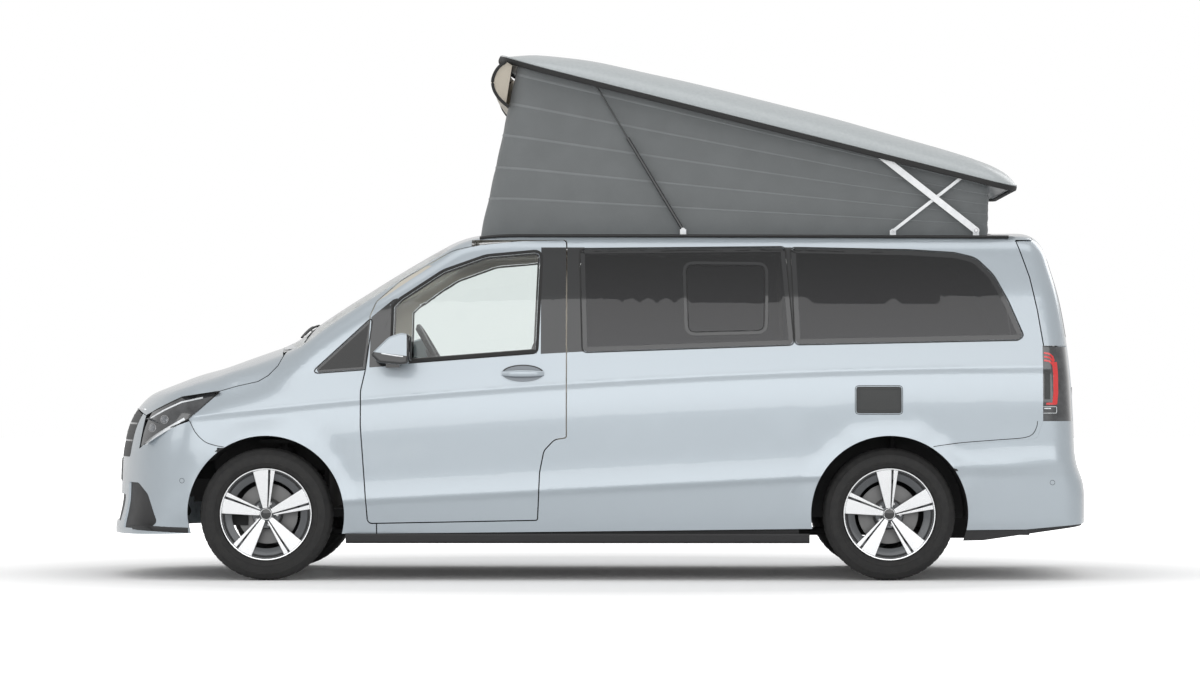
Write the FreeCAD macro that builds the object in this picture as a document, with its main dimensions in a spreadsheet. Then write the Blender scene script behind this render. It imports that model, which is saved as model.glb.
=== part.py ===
"""Camper van with a tilting pop-up roof, as an assembly of separate pieces.

Frame: +X points to the rear, +Y to the vehicle's right-hand side, +Z up.
The origin is on the ground, midway between the ends of the two bumpers.
All lengths are in millimetres and all angles in degrees.
"""
import FreeCAD, Part
import math
import os
import Sketcher
from types import SimpleNamespace
from FreeCAD import Placement, Rotation, Vector

SIZES = (
    # overall
    ("front_overhang", 880, "front axle to the front bumper"),
    ("wheelbase", 3200, "front axle to rear axle"),
    ("rear_overhang", 1060, "rear axle to the rear bumper"),
    ("body_width", 1928, "over the side panels"),
    ("roof_height", 1812, "top of the fixed roof at its middle"),
    ("cowl_height", 1208, "rear end of the bonnet at its middle"),
    ("bonnet_lip", 905, "front end of the bonnet at its middle"),
    ("belt_height", 1168, "lower edge of the side windows"),
    ("shoulder_height", 1021, "upper crease along the side"),
    ("crease_height", 470, "lower crease along the side"),
    ("sill_height", 295, "lower edge of the doors"),
    ("skirt_height", 240, "lower edge of the painted sides"),
    ("under_height", 180, "lower edge of the black underbody"),
    ("cant_height", 1752, "top of the doors and side windows' frame"),
    # wheels
    ("tyre_radius", 340, "tyre, outside"),
    ("tyre_width", 225, "tyre, across its walls"),
    ("bead_radius", 216, "seat of the tyre on the rim"),
    ("rim_width", 190, "rim, across its lips"),
    ("rim_lip", 18, "height of the rim's lip over the bead seat"),
    ("rim_wall", 10, "thickness of the rim's barrel"),
    ("hub_radius", 78, "middle of the wheel, round the bolts"),
    ("front_track", 1666, "between the front wheels' middles"),
    ("rear_track", 1646, "between the rear wheels' middles"),
    ("arch_radius", 403, "wheel arch, from the wheel's middle"),
    ("arch_flare", 12, "how far the arch's edge stands out"),
    ("flare_band", 75, "width of the flared band round the arch"),
    # walls
    ("side_wall", 60, "side panel with its lining"),
    ("door_wall", 58, "front door with its lining"),
    ("roof_wall", 40, "roof panel with its lining"),
    ("gate_wall", 50, "tailgate with its lining"),
    ("bonnet_wall", 26, "bonnet with its frame"),
    ("fender_wall", 20, "front fender with its flange"),
    ("bumper_wall", 22, "plastic bumper skin with its ribs"),
    ("lamp_depth", 70, "lamp housings behind the skin"),
    ("glass_wall", 5, "window glass"),
    ("glass_inset", 2, "window glass below the skin"),
    ("panel_gap", 6, "gap round what opens"),
    ("seat_gap", 0.3, "gap of a pin in its bore, or a pane in its frame"),
    # front door
    ("door_front", 525, "front axle to the front door's front edge"),
    ("door_length", 1015, "front door along its lower edge"),
    ("hinge_inboard", 12, "door hinge axis below the skin"),
    # pop-up roof
    ("pop_length", 2722, "raised roof along its rim"),
    ("pop_half_width", 700, "half the raised roof's width"),
    ("pop_crown", 160, "raised roof's height over its rim"),
    ("pop_wall", 24, "raised roof's shell with its lining"),
    ("pop_angle", 14.2, "tilt of the raised roof"),
    ("canvas_half_width", 615, "canvas bellows, half width"),
    # mechanical parts
    ("disc_radius", 155, "brake disc"),
    ("engine_length", 620, "engine and gearbox block, along the van"),
    ("engine_width", 700, "engine and gearbox block, across the van"),
    ("engine_height", 560, "engine and gearbox block, upright"),
    ("tank_length", 900, "fuel tank, along the van"),
    ("tank_width", 420, "fuel tank, across the van"),
    ("tank_height", 120, "fuel tank, upright"),
)

doc = FreeCAD.newDocument("camper_van")
sheet = doc.addObject("Spreadsheet::Sheet", "Sizes")


def fill_sheet():
    """Write each driving dimension with its alias and its note."""
    for row, (name, value, note) in enumerate(SIZES, 1):
        sheet.set("A%d" % row, name)
        sheet.set("B%d" % row, str(value))
        sheet.setAlias("B%d" % row, name)
        sheet.set("C%d" % row, note)
    doc.recompute()
    return SimpleNamespace(**{name: float(sheet.get(name)) for name, _, _ in SIZES})


S = fill_sheet()

LENGTH = S.front_overhang + S.wheelbase + S.rear_overhang
NOSE = -LENGTH / 2
TAIL = LENGTH / 2
FRONT_AXLE = NOSE + S.front_overhang
REAR_AXLE = FRONT_AXLE + S.wheelbase
HALF = S.body_width / 2
AXLE_Z = S.tyre_radius


def curve(points):
    """Return a smooth function through (place, value) points, level past its ends."""
    xs = [p[0] for p in points]
    ys = [p[1] for p in points]
    rises = [(ys[i + 1] - ys[i]) / (xs[i + 1] - xs[i]) for i in range(len(xs) - 1)]
    slopes = [rises[0]]
    for before, after in zip(rises, rises[1:]):
        slopes.append(0.0 if before * after <= 0 else 2 * before * after / (before + after))
    slopes.append(rises[-1])

    def value(x):
        if x <= xs[0]:
            return ys[0]
        if x >= xs[-1]:
            return ys[-1]
        i = 0
        while x > xs[i + 1]:
            i += 1
        step = xs[i + 1] - xs[i]
        a = (x - xs[i]) / step
        b = 1 - a
        return (ys[i] * b * b * (1 + 2 * a) + ys[i + 1] * a * a * (1 + 2 * b)
                + step * a * b * (slopes[i] * b - slopes[i + 1] * a))

    return value


def centre_profile():
    """Return the height of the bonnet, windscreen and roof along the middle."""
    lip, cowl, top = S.bonnet_lip, S.cowl_height, S.roof_height
    bonnet = ((-30, -0.08), (170, 0.13), (270, 0.26), (340, 0.35), (470, 0.51), (600, 0.63))
    points = [(NOSE + d, lip + (cowl - lip) * share) for d, share in bonnet]
    points += [(FRONT_AXLE - 157, cowl - 68), (FRONT_AXLE - 28, cowl - 22), (FRONT_AXLE + 36, cowl)]
    screen = ((100, 0.055), (229, 0.205), (358, 0.348), (487, 0.482), (615, 0.615), (744, 0.742),
              (873, 0.862), (940, 0.915), (1010, 0.957), (1100, 0.985), (1290, 1.0))
    points += [(FRONT_AXLE + d, cowl + (top - cowl) * share) for d, share in screen]
    points += [(TAIL, top - 4)]
    return curve(points)


centre_height = centre_profile()
crown_drop = curve(((NOSE, 70), (FRONT_AXLE - 200, 60), (FRONT_AXLE + 90, 30), (FRONT_AXLE + 290, 8),
                    (FRONT_AXLE + 790, 10), (FRONT_AXLE + 1090, 40), (TAIL, 45)))
screen_bow = curve(((FRONT_AXLE - 210, 0), (FRONT_AXLE + 60, 90), (FRONT_AXLE + 790, 110),
                    (FRONT_AXLE + 1040, 40), (FRONT_AXLE + 1300, 0)))
corner_radius = curve(((NOSE, 170), (FRONT_AXLE, 175), (FRONT_AXLE + 240, 90), (TAIL, 85)))
CROWN_REACH = 780


def top_height(x, y):
    """Height of the bonnet, windscreen or roof over a point of the plan."""
    across = (y / CROWN_REACH) ** 2
    return centre_height(x - screen_bow(x) * across) - crown_drop(x) * across


def shoulder_line(x):
    return S.shoulder_height + 0.0607 * x - 1.18e-5 * x * x


def belt_line(x):
    return S.belt_height + 0.0565 * x - 1.16e-5 * x * x


def crease_line(x):
    return S.crease_height + 0.0516 * x


def flare(x, z):
    """How far the wheel arches stand out at a point of the side."""
    out = 0.0
    for axle in (FRONT_AXLE, REAR_AXLE):
        past = (math.hypot(x - axle, z - AXLE_Z) - S.arch_radius) / S.flare_band
        if past < 1:
            share = min(1.0, 1 - past)
            out = max(out, S.arch_flare * share * share * (3 - 2 * share))
    return out


BARREL = 6e-6


def half_width(x, z):
    """Half the body's width at a height, before the ends round off."""
    shoulder, belt, crease = shoulder_line(x), belt_line(x), crease_line(x)
    profile = ((S.under_height - 60, 74), (S.skirt_height, 46), (S.sill_height, 34),
               (crease - 22, 13), (crease + 3, 0), (crease + 30, 2), (crease + 95, 8),
               (0.55 * crease + 0.45 * shoulder, 6), (shoulder - 190, 2), (shoulder - 100, 5),
               (shoulder - 34, 13), (shoulder - 4, 9), (shoulder + 8, 12), (belt, 38),
               (0.5 * (belt + S.cant_height), 88), (S.cant_height - 42, 158), (S.cant_height + 60, 198),
               (S.roof_height + 200, 270))
    i = 0
    while i < len(profile) - 2 and z > profile[i + 1][0]:
        i += 1
    (z0, d0), (z1, d1) = profile[i], profile[i + 1]
    drop = d0 + (d1 - d0) * (z - z0) / (z1 - z0)
    return HALF - drop - BARREL * (x - 300) ** 2 + flare(x, z)


nose_profile = curve(((150, 30), (230, 8), (300, 16), (390, 36), (620, 46), (750, 68), (850, 94),
                      (950, 128), (1150, 190)))
tail_profile = curve(((150, 16), (300, 0), (430, 0), (500, 8), (580, 36), (656, 50), (817, 57),
                      (1009, 68), (1202, 89), (1395, 121), (1523, 153), (1652, 196), (1716, 218),
                      (1900, 284)))
NOSE_SWEEP, NOSE_REACH = 520, 985
TAIL_SWEEP, TAIL_REACH = 130, 975
NOSE_ROUND, TAIL_ROUND = 95, 80
BLEND = 2.2


def sweep_back(y, depth, reach):
    """Plan curve of an end: how far it lies back at a distance from the middle."""
    return depth * (1 - math.sqrt(max(0.0, 1 - (y / reach) ** 2))) + 3 * max(0.0, abs(y) - reach)


def outside(x, y, z, inset):
    """Negative inside the body, positive outside; the corners between its sides are round."""
    total = -1.0
    for slack, radius in (
            (half_width(x, z) - inset - abs(y), corner_radius(x)),
            (top_height(x, y) - inset - z, corner_radius(x)),
            (x - NOSE - nose_profile(z) - sweep_back(y, NOSE_SWEEP, NOSE_REACH) - inset, NOSE_ROUND),
            (TAIL - tail_profile(z) - sweep_back(y, TAIL_SWEEP, TAIL_REACH) - inset - x, TAIL_ROUND)):
        if slack < radius:
            total += (1 - slack / radius) ** BLEND
    return total


def skin_point(origin, way, inset):
    """Where a ray from inside the body leaves it."""
    near, far = 0.0, 1400.0
    for _ in range(22):
        mid = (near + far) / 2
        p = origin + way * mid
        if outside(p.x, p.y, p.z, inset) > 0:
            far = mid
        else:
            near = mid
    return origin + way * near


def sharpened(points):
    """Poles whose cubic curve passes within a hair of the given points."""
    poles = list(points)
    for i in range(1, len(points) - 1):
        poles[i] = points[i] - (points[i - 1] - points[i] * 2 + points[i + 1]) * (1 / 6)
    return poles


def through(grid):
    """Cubic surface through a grid of points, with evenly spaced knots."""
    grid = [sharpened(line) for line in grid]
    grid = list(zip(*[sharpened(list(line)) for line in zip(*grid)]))
    ends = [len(grid) - 3, len(grid[0]) - 3]
    knots = [[float(i) for i in range(count + 1)] for count in ends]
    mults = [[4] + [1] * (count - 1) + [4] for count in ends]
    surface = Part.BSplineSurface()
    surface.buildFromPolesMultsKnots([list(line) for line in grid], mults[0], mults[1], knots[0], knots[1],
                                     False, False, 3, 3)
    return surface


def closed_between(a, b):
    """Solid between two surfaces that were sampled alike."""
    faces = [a.toShape(), b.toShape()]
    u0, u1, v0, v1 = a.bounds()
    s0, s1, t0, t1 = b.bounds()
    rims = ((a.uIso(u0), b.uIso(s0)), (a.uIso(u1), b.uIso(s1)),
            (a.vIso(v0), b.vIso(t0)), (a.vIso(v1), b.vIso(t1)))
    for edge_a, edge_b in rims:
        faces.append(Part.makeRuledSurface(edge_a.toShape(), edge_b.toShape(), 1))
    shell = Part.makeShell(faces)
    shell.sewShape(0.001)
    solid = Part.makeSolid(shell)
    if solid.Volume < 0:
        solid.reverse()
    return solid


def slab(ray, us, vs, outer, inner):
    """Solid wall that follows the body between two depths below its skin."""
    sides = []
    for inset in (outer, inner):
        sides.append(through([[skin_point(*ray(u, v), inset) for v in vs] for u in us]))
    return closed_between(*sides)


def steps(start, end, pitch):
    """Evenly spaced places from start to end, about a pitch apart."""
    count = max(4, round(abs(end - start) / pitch))
    return [start + (end - start) * i / count for i in range(count + 1)]


def turned(angle):
    return math.cos(math.radians(angle)), math.sin(math.radians(angle))


# The body is sampled along three fans of rays: one across each section of the cabin,
# one round the nose and one round the tail.
CORE_Z = 650
FAN_START = NOSE + 470
FAN_END = TAIL - 720
FAN_RATE = 1 / 6
PITCH = 45


def section_angles(x):
    """Ray angles of a section, from below the sill to the middle of the roof."""
    crease, shoulder, belt = crease_line(x), shoulder_line(x), belt_line(x)
    levels = [S.skirt_height - 30, S.skirt_height, S.sill_height, 0.6 * S.sill_height + 0.4 * (crease - 24),
              0.2 * S.sill_height + 0.8 * (crease - 24), crease - 24, crease - 8, crease + 6, crease + 30]
    levels += [crease + 30 + (shoulder - 90 - crease) * k / 6 for k in range(1, 7)]
    levels += [shoulder - 32, shoulder - 14, shoulder - 3, shoulder + 8, shoulder + 26,
               (shoulder + belt) / 2, belt - 14, belt + 14]
    angles = [math.degrees(math.atan2(z - CORE_Z, half_width(x, z))) for z in levels]
    top = top_height(x, 0)
    corner_y = half_width(x, top) - 0.3 * corner_radius(x)
    corner = math.degrees(math.atan2(top_height(x, corner_y) - 0.3 * corner_radius(x) - CORE_Z, corner_y))
    low = angles[-1]
    start = max(corner - 7, low + 2)
    angles += [low + (start - low) * k / 9 for k in range(1, 10)]
    angles += [start + 14 * k / 8 for k in range(1, 9)]
    last = angles[-1]
    angles += [last + (90 - last) * k / 9 for k in range(1, 10)]
    return angles


ROW_COUNT = 49
MID_ROW = ROW_COUNT - 1
BELT_ROW = 21
CORNER_ROW = 39


def section_ray(x, row):
    """Ray across the section at x; near the nose and the tail the rays fan out."""
    place = min(max(x, FAN_START), FAN_END)
    angle = section_angles(place)[row if row <= MID_ROW else 2 * MID_ROW - row]
    across, up = turned(angle if row <= MID_ROW else 180 - angle)
    level, tilt = turned((x - place) * FAN_RATE)
    return Vector(place, 0, CORE_Z), Vector(tilt, -across * level, up * level)


NOSE_CORE = NOSE + 670
TAIL_CORE = TAIL - 720
TAIL_FAN_Z = S.roof_height - 312


def nose_ray(turn, lift):
    """Ray from a point behind the nose, turned sideways and lifted."""
    ahead, across = turned(turn)
    level, up = turned(lift)
    return Vector(NOSE_CORE, 0, CORE_Z), Vector(-ahead * level, -across * level, up)


def tail_ray(turn, z):
    """Level ray to the tail, or above the tail's fan height one that is lifted."""
    back, across = turned(turn)
    level, up = turned(max(0.0, z - TAIL_FAN_Z) / 6)
    return Vector(TAIL_CORE, 0, min(z, TAIL_FAN_Z)), Vector(back * level, -across * level, up)


def rounded(points, radius=0.0):
    """Closed outline through points; each corner is rounded by its own or the given radius."""
    count = len(points)
    edges = []
    joints = []
    for i, point in enumerate(points):
        here = Vector(point[0], point[1], 0)
        want = point[2] if len(point) > 2 else radius
        before = Vector(points[i - 1][0], points[i - 1][1], 0) - here
        after = Vector(points[(i + 1) % count][0], points[(i + 1) % count][1], 0) - here
        half = (math.pi - before.getAngle(after)) / 2
        reach = min(want * math.tan(half), 0.49 * before.Length, 0.49 * after.Length)
        if reach < 0.05:
            joints.append((here, here, here))
            continue
        first = here + before.normalize() * reach
        last = here + after.normalize() * reach
        size = reach / math.tan(half)
        middle = here + (before + after).normalize() * (size / math.cos(half) - size)
        joints.append((first, middle, last))
    for i, (first, middle, last) in enumerate(joints):
        start = joints[i - 1][2]
        if (first - start).Length > 1e-6:
            edges.append(Part.LineSegment(start, first).toShape())
        if (last - first).Length > 1e-6:
            edges.append(Part.Arc(first, middle, last).toShape())
    return Part.Wire(edges)


def prism(points, plane, low, high, radius=0.0, grow=0.0):
    """Outline in the XZ, YZ or XY plane, carried from low to high along the third axis."""
    face = Part.Face(rounded(points, radius))
    if grow:
        face = face.makeOffset2D(grow)
    if plane == "XZ":
        face.rotate(Vector(0, 0, 0), Vector(1, 0, 0), 90)
        face.translate(Vector(0, low, 0))
        return face.extrude(Vector(0, high - low, 0))
    if plane == "YZ":
        face.rotate(Vector(0, 0, 0), Vector(1, 1, 1), 120)
        face.translate(Vector(low, 0, 0))
        return face.extrude(Vector(high - low, 0, 0))
    face.translate(Vector(0, 0, low))
    return face.extrude(Vector(0, 0, high - low))


def mirrored(shape):
    return shape.mirror(Vector(0, 0, 0), Vector(0, 1, 0))


def box(x0, x1, y0, y1, z0, z1):
    return Part.makeBox(x1 - x0, y1 - y0, z1 - z0, Vector(x0, y0, z0))


PIECES = []


class Link:
    """A length that keeps its value together with the expression it comes from."""

    def __init__(self, value, text):
        self.value = value
        self.text = text

    def joined(self, other, sign, value):
        text = other.text if isinstance(other, Link) else repr(float(other))
        return Link(value, "(%s %s %s)" % (self.text, sign, text))

    def __add__(self, other):
        return self.joined(other, "+", self.value + number(other))

    def __sub__(self, other):
        return self.joined(other, "-", self.value - number(other))

    def __mul__(self, other):
        return self.joined(other, "*", self.value * number(other))

    def __truediv__(self, other):
        return self.joined(other, "/", self.value / number(other))


def number(size):
    return size.value if isinstance(size, Link) else float(size)


def cell(name):
    return Link(getattr(S, name), "Sizes.%s" % name)


def fixed(value):
    return Link(float(value), repr(float(value)))


def bind(piece, **properties):
    """Bind properties to the sheet; a double underscore in a name stands for a dot."""
    for name, size in properties.items():
        if not isinstance(size, Link):
            size = fixed(size)
        piece.setExpression(name.replace("__", "."), size.text)


def place(piece, x, y, z):
    bind(piece, Placement__Base__x=x, Placement__Base__y=y, Placement__Base__z=z)


NOSE_X = (cell("front_overhang") + cell("wheelbase") + cell("rear_overhang")) * -0.5
TAIL_X = NOSE_X * -1
FRONT_X = NOSE_X + cell("front_overhang")
REAR_X = FRONT_X + cell("wheelbase")


def add(kind, name, **properties):
    """Add a primitive or boolean whose properties follow the sheet."""
    piece = doc.addObject(kind, name)
    piece.Label = name
    bind(piece, **properties)
    return piece


def block(name, x, y, z, length, width, height):
    piece = add("Part::Box", name, Length=length, Width=width, Height=height)
    place(piece, x, y, z)
    return piece


def rod(name, x, y, z, radius, length, axis=None, angle=90):
    """Cylinder from a point along +Z, or turned about an axis first."""
    piece = add("Part::Cylinder", name, Radius=radius, Height=length)
    if axis is not None:
        piece.Placement = Placement(Vector(0, 0, 0), Rotation(axis, angle))
    place(piece, x, y, z)
    return piece


ALONG_Y = Vector(-1, 0, 0)
ALONG_X = Vector(0, 1, 0)


def joined(name, parts):
    piece = doc.addObject("Part::MultiFuse", name)
    piece.Label = name
    piece.Shapes = parts
    return piece


def cut(name, base, tool):
    piece = doc.addObject("Part::Cut", name)
    piece.Label = name
    piece.Base = base
    piece.Tool = tool
    return piece


def grouped(name, parts):
    piece = doc.addObject("Part::Compound", name)
    piece.Label = name
    piece.Links = parts
    return piece


def node(piece):
    PIECES.append(piece)
    return piece


def new_body(name):
    body = doc.addObject("PartDesign::Body", name)
    body.Label = name
    return body


def sketch_on(body, role, corners, name="_outline"):
    """Closed outline on one of the body's own planes, each corner bound to the sheet."""
    sketch = body.newObject("Sketcher::SketchObject", body.Name + name)
    plane = [f for f in body.Origin.OriginFeatures if f.Role == role][0]
    sketch.AttachmentSupport = [(plane, "")]
    sketch.MapMode = "FlatFace"
    places = [Vector(number(u), number(v), 0) for u, v in corners]
    for i, here in enumerate(places):
        sketch.addGeometry(Part.LineSegment(here, places[(i + 1) % len(places)]), False)
    for i in range(len(places)):
        sketch.addConstraint(Sketcher.Constraint("Coincident", i, 2, (i + 1) % len(places), 1))
    for i, corner in enumerate(corners):
        for kind, size in zip(("DistanceX", "DistanceY"), corner):
            index = sketch.addConstraint(Sketcher.Constraint(kind, -1, 1, i, 1, number(size)))
            if isinstance(size, Link):
                sketch.setExpression("Constraints[%d]" % index, size.text)
    return sketch


def revolved(body, sketch, axis, angle=360, name="_turn"):
    turn = body.newObject("PartDesign::Revolution", body.Name + name)
    turn.Profile = sketch
    turn.ReferenceAxis = (sketch, [axis])
    turn.Angle = angle
    return turn


def keep(name, shape):
    """Add a finished shape to the document as a named sub-part."""
    piece = doc.addObject("Part::Feature", name)
    piece.Label = name
    piece.Shape = shape
    PIECES.append(piece)
    return shape


def ahead(points):
    """Outline points given as distance behind the front axle and height."""
    return [(FRONT_AXLE + p[0],) + tuple(p[1:]) for p in points]


def behind(points):
    """Outline points given as distance behind the rear axle and height."""
    return [(REAR_AXLE + p[0],) + tuple(p[1:]) for p in points]


BELT, CANT, SILL = S.belt_height, S.cant_height, S.sill_height
GAP, SEAT = S.panel_gap, S.seat_gap
DOOR_FRONT = S.door_front
DOOR_REAR = S.door_front + S.door_length
WIDE = HALF + 60
CANT_INNER = HALF - 264

# Outlines seen from the side.
BONNET_EDGE = ahead([(-239, BELT - 191), (-151, BELT - 172), (-43, BELT - 148), (7, BELT - 118),
                     (56, BELT - 67), (98, BELT + 22)])
LAMP_TOP = [(NOSE + 231, BELT - 324), (NOSE + 437, BELT - 228), (FRONT_AXLE - 240, BELT - 197)]
DOOR = ahead([(DOOR_FRONT - 10, BELT - 78, 60), (DOOR_FRONT - 36, BELT - 196, 120),
              (DOOR_FRONT - 36, BELT - 375, 400), (DOOR_FRONT - 15, SILL + 205, 400), (DOOR_FRONT, SILL, 22),
              (DOOR_REAR - 148, SILL + 17, 8), (DOOR_REAR - 137, SILL + 261, 120),
              (DOOR_REAR - 115, SILL + 372, 60), (DOOR_REAR - 60, SILL + 430, 50), (DOOR_REAR, SILL + 441, 8),
              (DOOR_REAR, CANT, 22), (DOOR_REAR - 239, CANT - 5, 300), (DOOR_REAR - 445, CANT - 26, 200),
              (DOOR_REAR - 587, CANT - 57, 200), (692, CANT - 209, 300), (565, CANT - 321, 60),
              (DOOR_FRONT + 10, BELT + 190, 60)])
PLAIN_DOOR = DOOR[:5] + ahead([(DOOR_REAR, SILL + 20, 22)]) + DOOR[10:]
DOOR_WINDOW = ahead([(649, BELT - 46, 20), (DOOR_REAR - 156, BELT + 10, 20), (DOOR_REAR - 134, CANT - 64, 30),
                     (DOOR_REAR - 412, CANT - 89, 200), (DOOR_REAR - 629, CANT - 166, 200),
                     (694, CANT - 309, 30), (657, CANT - 346, 20)])
QUARTER_GLASS = ahead([(235, BELT - 103, 14), (507, BELT - 83, 10), (542, BELT + 180, 10)])
FENDER = ([(NOSE + 482, BELT - 340), (FRONT_AXLE - 240, BELT - 197)] + BONNET_EDGE[1:]
          + ahead([(314, BELT + 22), (DOOR_FRONT + 40, BELT + 22), (DOOR_FRONT + 40, S.skirt_height),
                   (300, S.skirt_height), (300, AXLE_Z), (-300, AXLE_Z)])
          + [(NOSE + 687, BELT - 487), (NOSE + 567, BELT - 458), (NOSE + 487, BELT - 350)])
MIDDLE_WINDOW = [(FRONT_AXLE + 1612, CANT - 48, 25), (REAR_AXLE - 532, CANT - 38, 25),
                 (REAR_AXLE - 491, BELT + 43, 25), (FRONT_AXLE + 1627, BELT + 5, 25)]
REAR_WINDOW = behind([(-481, BELT + 44, 25), (660, BELT + 68, 30), (688, BELT + 87, 30), (611, BELT + 268, 200),
                      (539, BELT + 402, 200), (451, CANT - 95, 120), (343, CANT - 69, 150),
                      (101, CANT - 54, 300), (-502, CANT - 42, 25)])
TAIL_EDGE = [(TAIL - 398, CANT + 60), (TAIL - 398, CANT - 7), (TAIL - 336, CANT - 193),
             (TAIL - 300, CANT - 363), (TAIL - 272, BELT + 41)]
LAMP_TOP_Z = BELT + 31
LAMP_LOW_Z = BELT - 350
LAMP_FRONT = TAIL - 274
LAMP_INNER = HALF - 224
BUMPER_TOP_Z = BELT - 446
BUMPER_LINE = [(REAR_AXLE, BUMPER_TOP_Z - 61), (TAIL - 305, BUMPER_TOP_Z + 9, 30), (LAMP_FRONT, LAMP_LOW_Z)]
ROOF_FRONT = FRONT_AXLE + 1050
GATE_TOP = TAIL - 310
HOOD_REAR = FRONT_AXLE + 98
SCREEN_LOW = FRONT_AXLE + 72
SCREEN_HIGH = FRONT_AXLE + 905


def wheel_hole(axle, radius):
    """Round hole of a wheel arch, right across the van."""
    return Part.makeCylinder(radius, 2 * WIDE, Vector(axle, -WIDE, AXLE_Z), Vector(0, 1, 0))


def side_prism(points, radius=0.0, grow=0.0):
    return prism(points, "XZ", -WIDE, -CANT_INNER, radius, grow)


def rear_hood_edge(back):
    """Everything behind the bonnet's curved rear edge, seen from above."""
    side, middle = HOOD_REAR + back, HOOD_REAR - 63 + back
    edge = Part.Arc(Vector(side, -HALF, 0), Vector(middle, 0, 0), Vector(side, HALF, 0)).toShape()
    far = side + 3000
    lines = [Part.LineSegment(Vector(side, HALF, 0), Vector(far, HALF, 0)).toShape(),
             Part.LineSegment(Vector(far, HALF, 0), Vector(far, -HALF, 0)).toShape(),
             Part.LineSegment(Vector(far, -HALF, 0), Vector(side, -HALF, 0)).toShape()]
    return Part.Face(Part.Wire([edge] + lines)).extrude(Vector(0, 0, 2000))


def make_bonnet():
    wall = slab(section_ray, steps(FAN_START - 345, HOOD_REAR + 60, PITCH), list(range(10, 2 * MID_ROW - 9)),
                0, S.bonnet_wall)
    lip = S.bonnet_lip
    edge = ([(NOSE - 60, lip - 8), (NOSE + 130, lip - 15)] + [(x, z + GAP / 2) for x, z in LAMP_TOP]
            + [(x - GAP / 2, z + GAP / 2) for x, z in BONNET_EDGE[1:]])
    outline = edge + [(edge[-1][0], 1500), (NOSE - 60, 1500)]
    return wall.common(prism(outline, "XZ", -WIDE, WIDE)).cut(rear_hood_edge(0))


def make_fenders():
    wall = slab(section_ray, steps(FAN_START - 30, FRONT_AXLE + DOOR_FRONT + 90, PITCH / 1.3),
                list(range(0, CORNER_ROW)), 0, S.fender_wall)
    left = wall.common(side_prism(FENDER))
    left = left.cut(wheel_hole(FRONT_AXLE, S.arch_radius)).cut(side_prism(DOOR, grow=GAP))
    return left.cut(side_prism(QUARTER_GLASS, grow=-0.01)).cut(screen_outline(SEAT))


def screen_outline(grow):
    """Windscreen seen from above; its sides follow the pillars."""
    count = 8
    side = []
    for k in range(count + 1):
        x = SCREEN_LOW + 85 + (SCREEN_HIGH - SCREEN_LOW - 70) * k / count
        edge = half_width(x, top_height(x, CROWN_REACH)) - 78 + grow
        side.append((x, edge))
    low = SCREEN_LOW - grow
    high = SCREEN_HIGH + grow
    first, last = side[0], side[-1]
    lower = Part.Arc(Vector(first[0] - grow, -first[1], 0), Vector(low, 0, 0), Vector(first[0] - grow, first[1], 0))
    right = Part.BSplineCurve()
    right.interpolate([Vector(x + (-grow if k == 0 else grow if k == count else 0), y, 0)
                       for k, (x, y) in enumerate(side)])
    left = Part.BSplineCurve()
    left.interpolate([Vector(x + (-grow if k == 0 else grow if k == count else 0), -y, 0)
                      for k, (x, y) in enumerate(side)])
    upper = Part.Arc(Vector(last[0] + grow, last[1], 0), Vector(high, 0, 0), Vector(last[0] + grow, -last[1], 0))
    wire = Part.Wire([lower.toShape(), right.toShape(), upper.toShape(), left.toShape()])
    return Part.Face(wire).extrude(Vector(0, 0, 2200))


def cabin_wall(start, end, first_row, outer, inner, pitch=PITCH):
    return slab(section_ray, steps(start, end, pitch), list(range(first_row, 2 * MID_ROW - first_row + 1)),
                outer, inner)


def make_windscreen_frame(door_hole):
    wall = cabin_wall(HOOD_REAR - 90, ROOF_FRONT + 60, BELT_ROW - 4, 0, S.roof_wall)
    outline = ahead([(98, BELT + 22), (314, BELT + 22), (DOOR_FRONT + 40, BELT + 22), (1050, BELT + 22),
                     (1050, 1900), (-10, 1900), (-10, BELT + 22)])
    frame = wall.common(prism(outline, "XZ", -WIDE, WIDE)).common(rear_hood_edge(GAP))
    frame = frame.cut(screen_outline(SEAT)).cut(door_hole).cut(mirrored(door_hole))
    glass = side_prism(QUARTER_GLASS, grow=-0.01)
    return frame.cut(glass).cut(mirrored(glass))


def make_windscreen():
    wall = cabin_wall(SCREEN_LOW - 60, ROOF_FRONT, BELT_ROW + 2, S.glass_inset, S.glass_inset + S.glass_wall)
    return wall.common(screen_outline(0))


def hatch(grow):
    """Opening of the fixed roof under the raised one."""
    x0, x1 = FRONT_AXLE + 1230, REAR_AXLE + 560
    half = S.canvas_half_width - 60
    outline = [(x0 - grow, -half - grow), (x1 + grow, -half - grow), (x1 + grow, half + grow),
               (x0 - grow, half + grow)]
    return prism(outline, "XY", 1400, 2200, 90)


def make_roof():
    wall = slab(section_ray, corner_steps(ROOF_FRONT - 60, FAN_END + 150),
                list(range(CORNER_ROW - 9, 2 * MID_ROW - CORNER_ROW + 10)), 0, S.roof_wall)
    reach = box(ROOF_FRONT, GATE_TOP, -WIDE, WIDE, CANT + 2, 2200)
    return wall.common(reach).cut(hatch(0))


def corner_steps(start, end):
    """Places along a side wall and on round the tail's corner."""
    return steps(start, FAN_END, PITCH) + steps(FAN_END, end, PITCH / 3)[1:]


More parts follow.
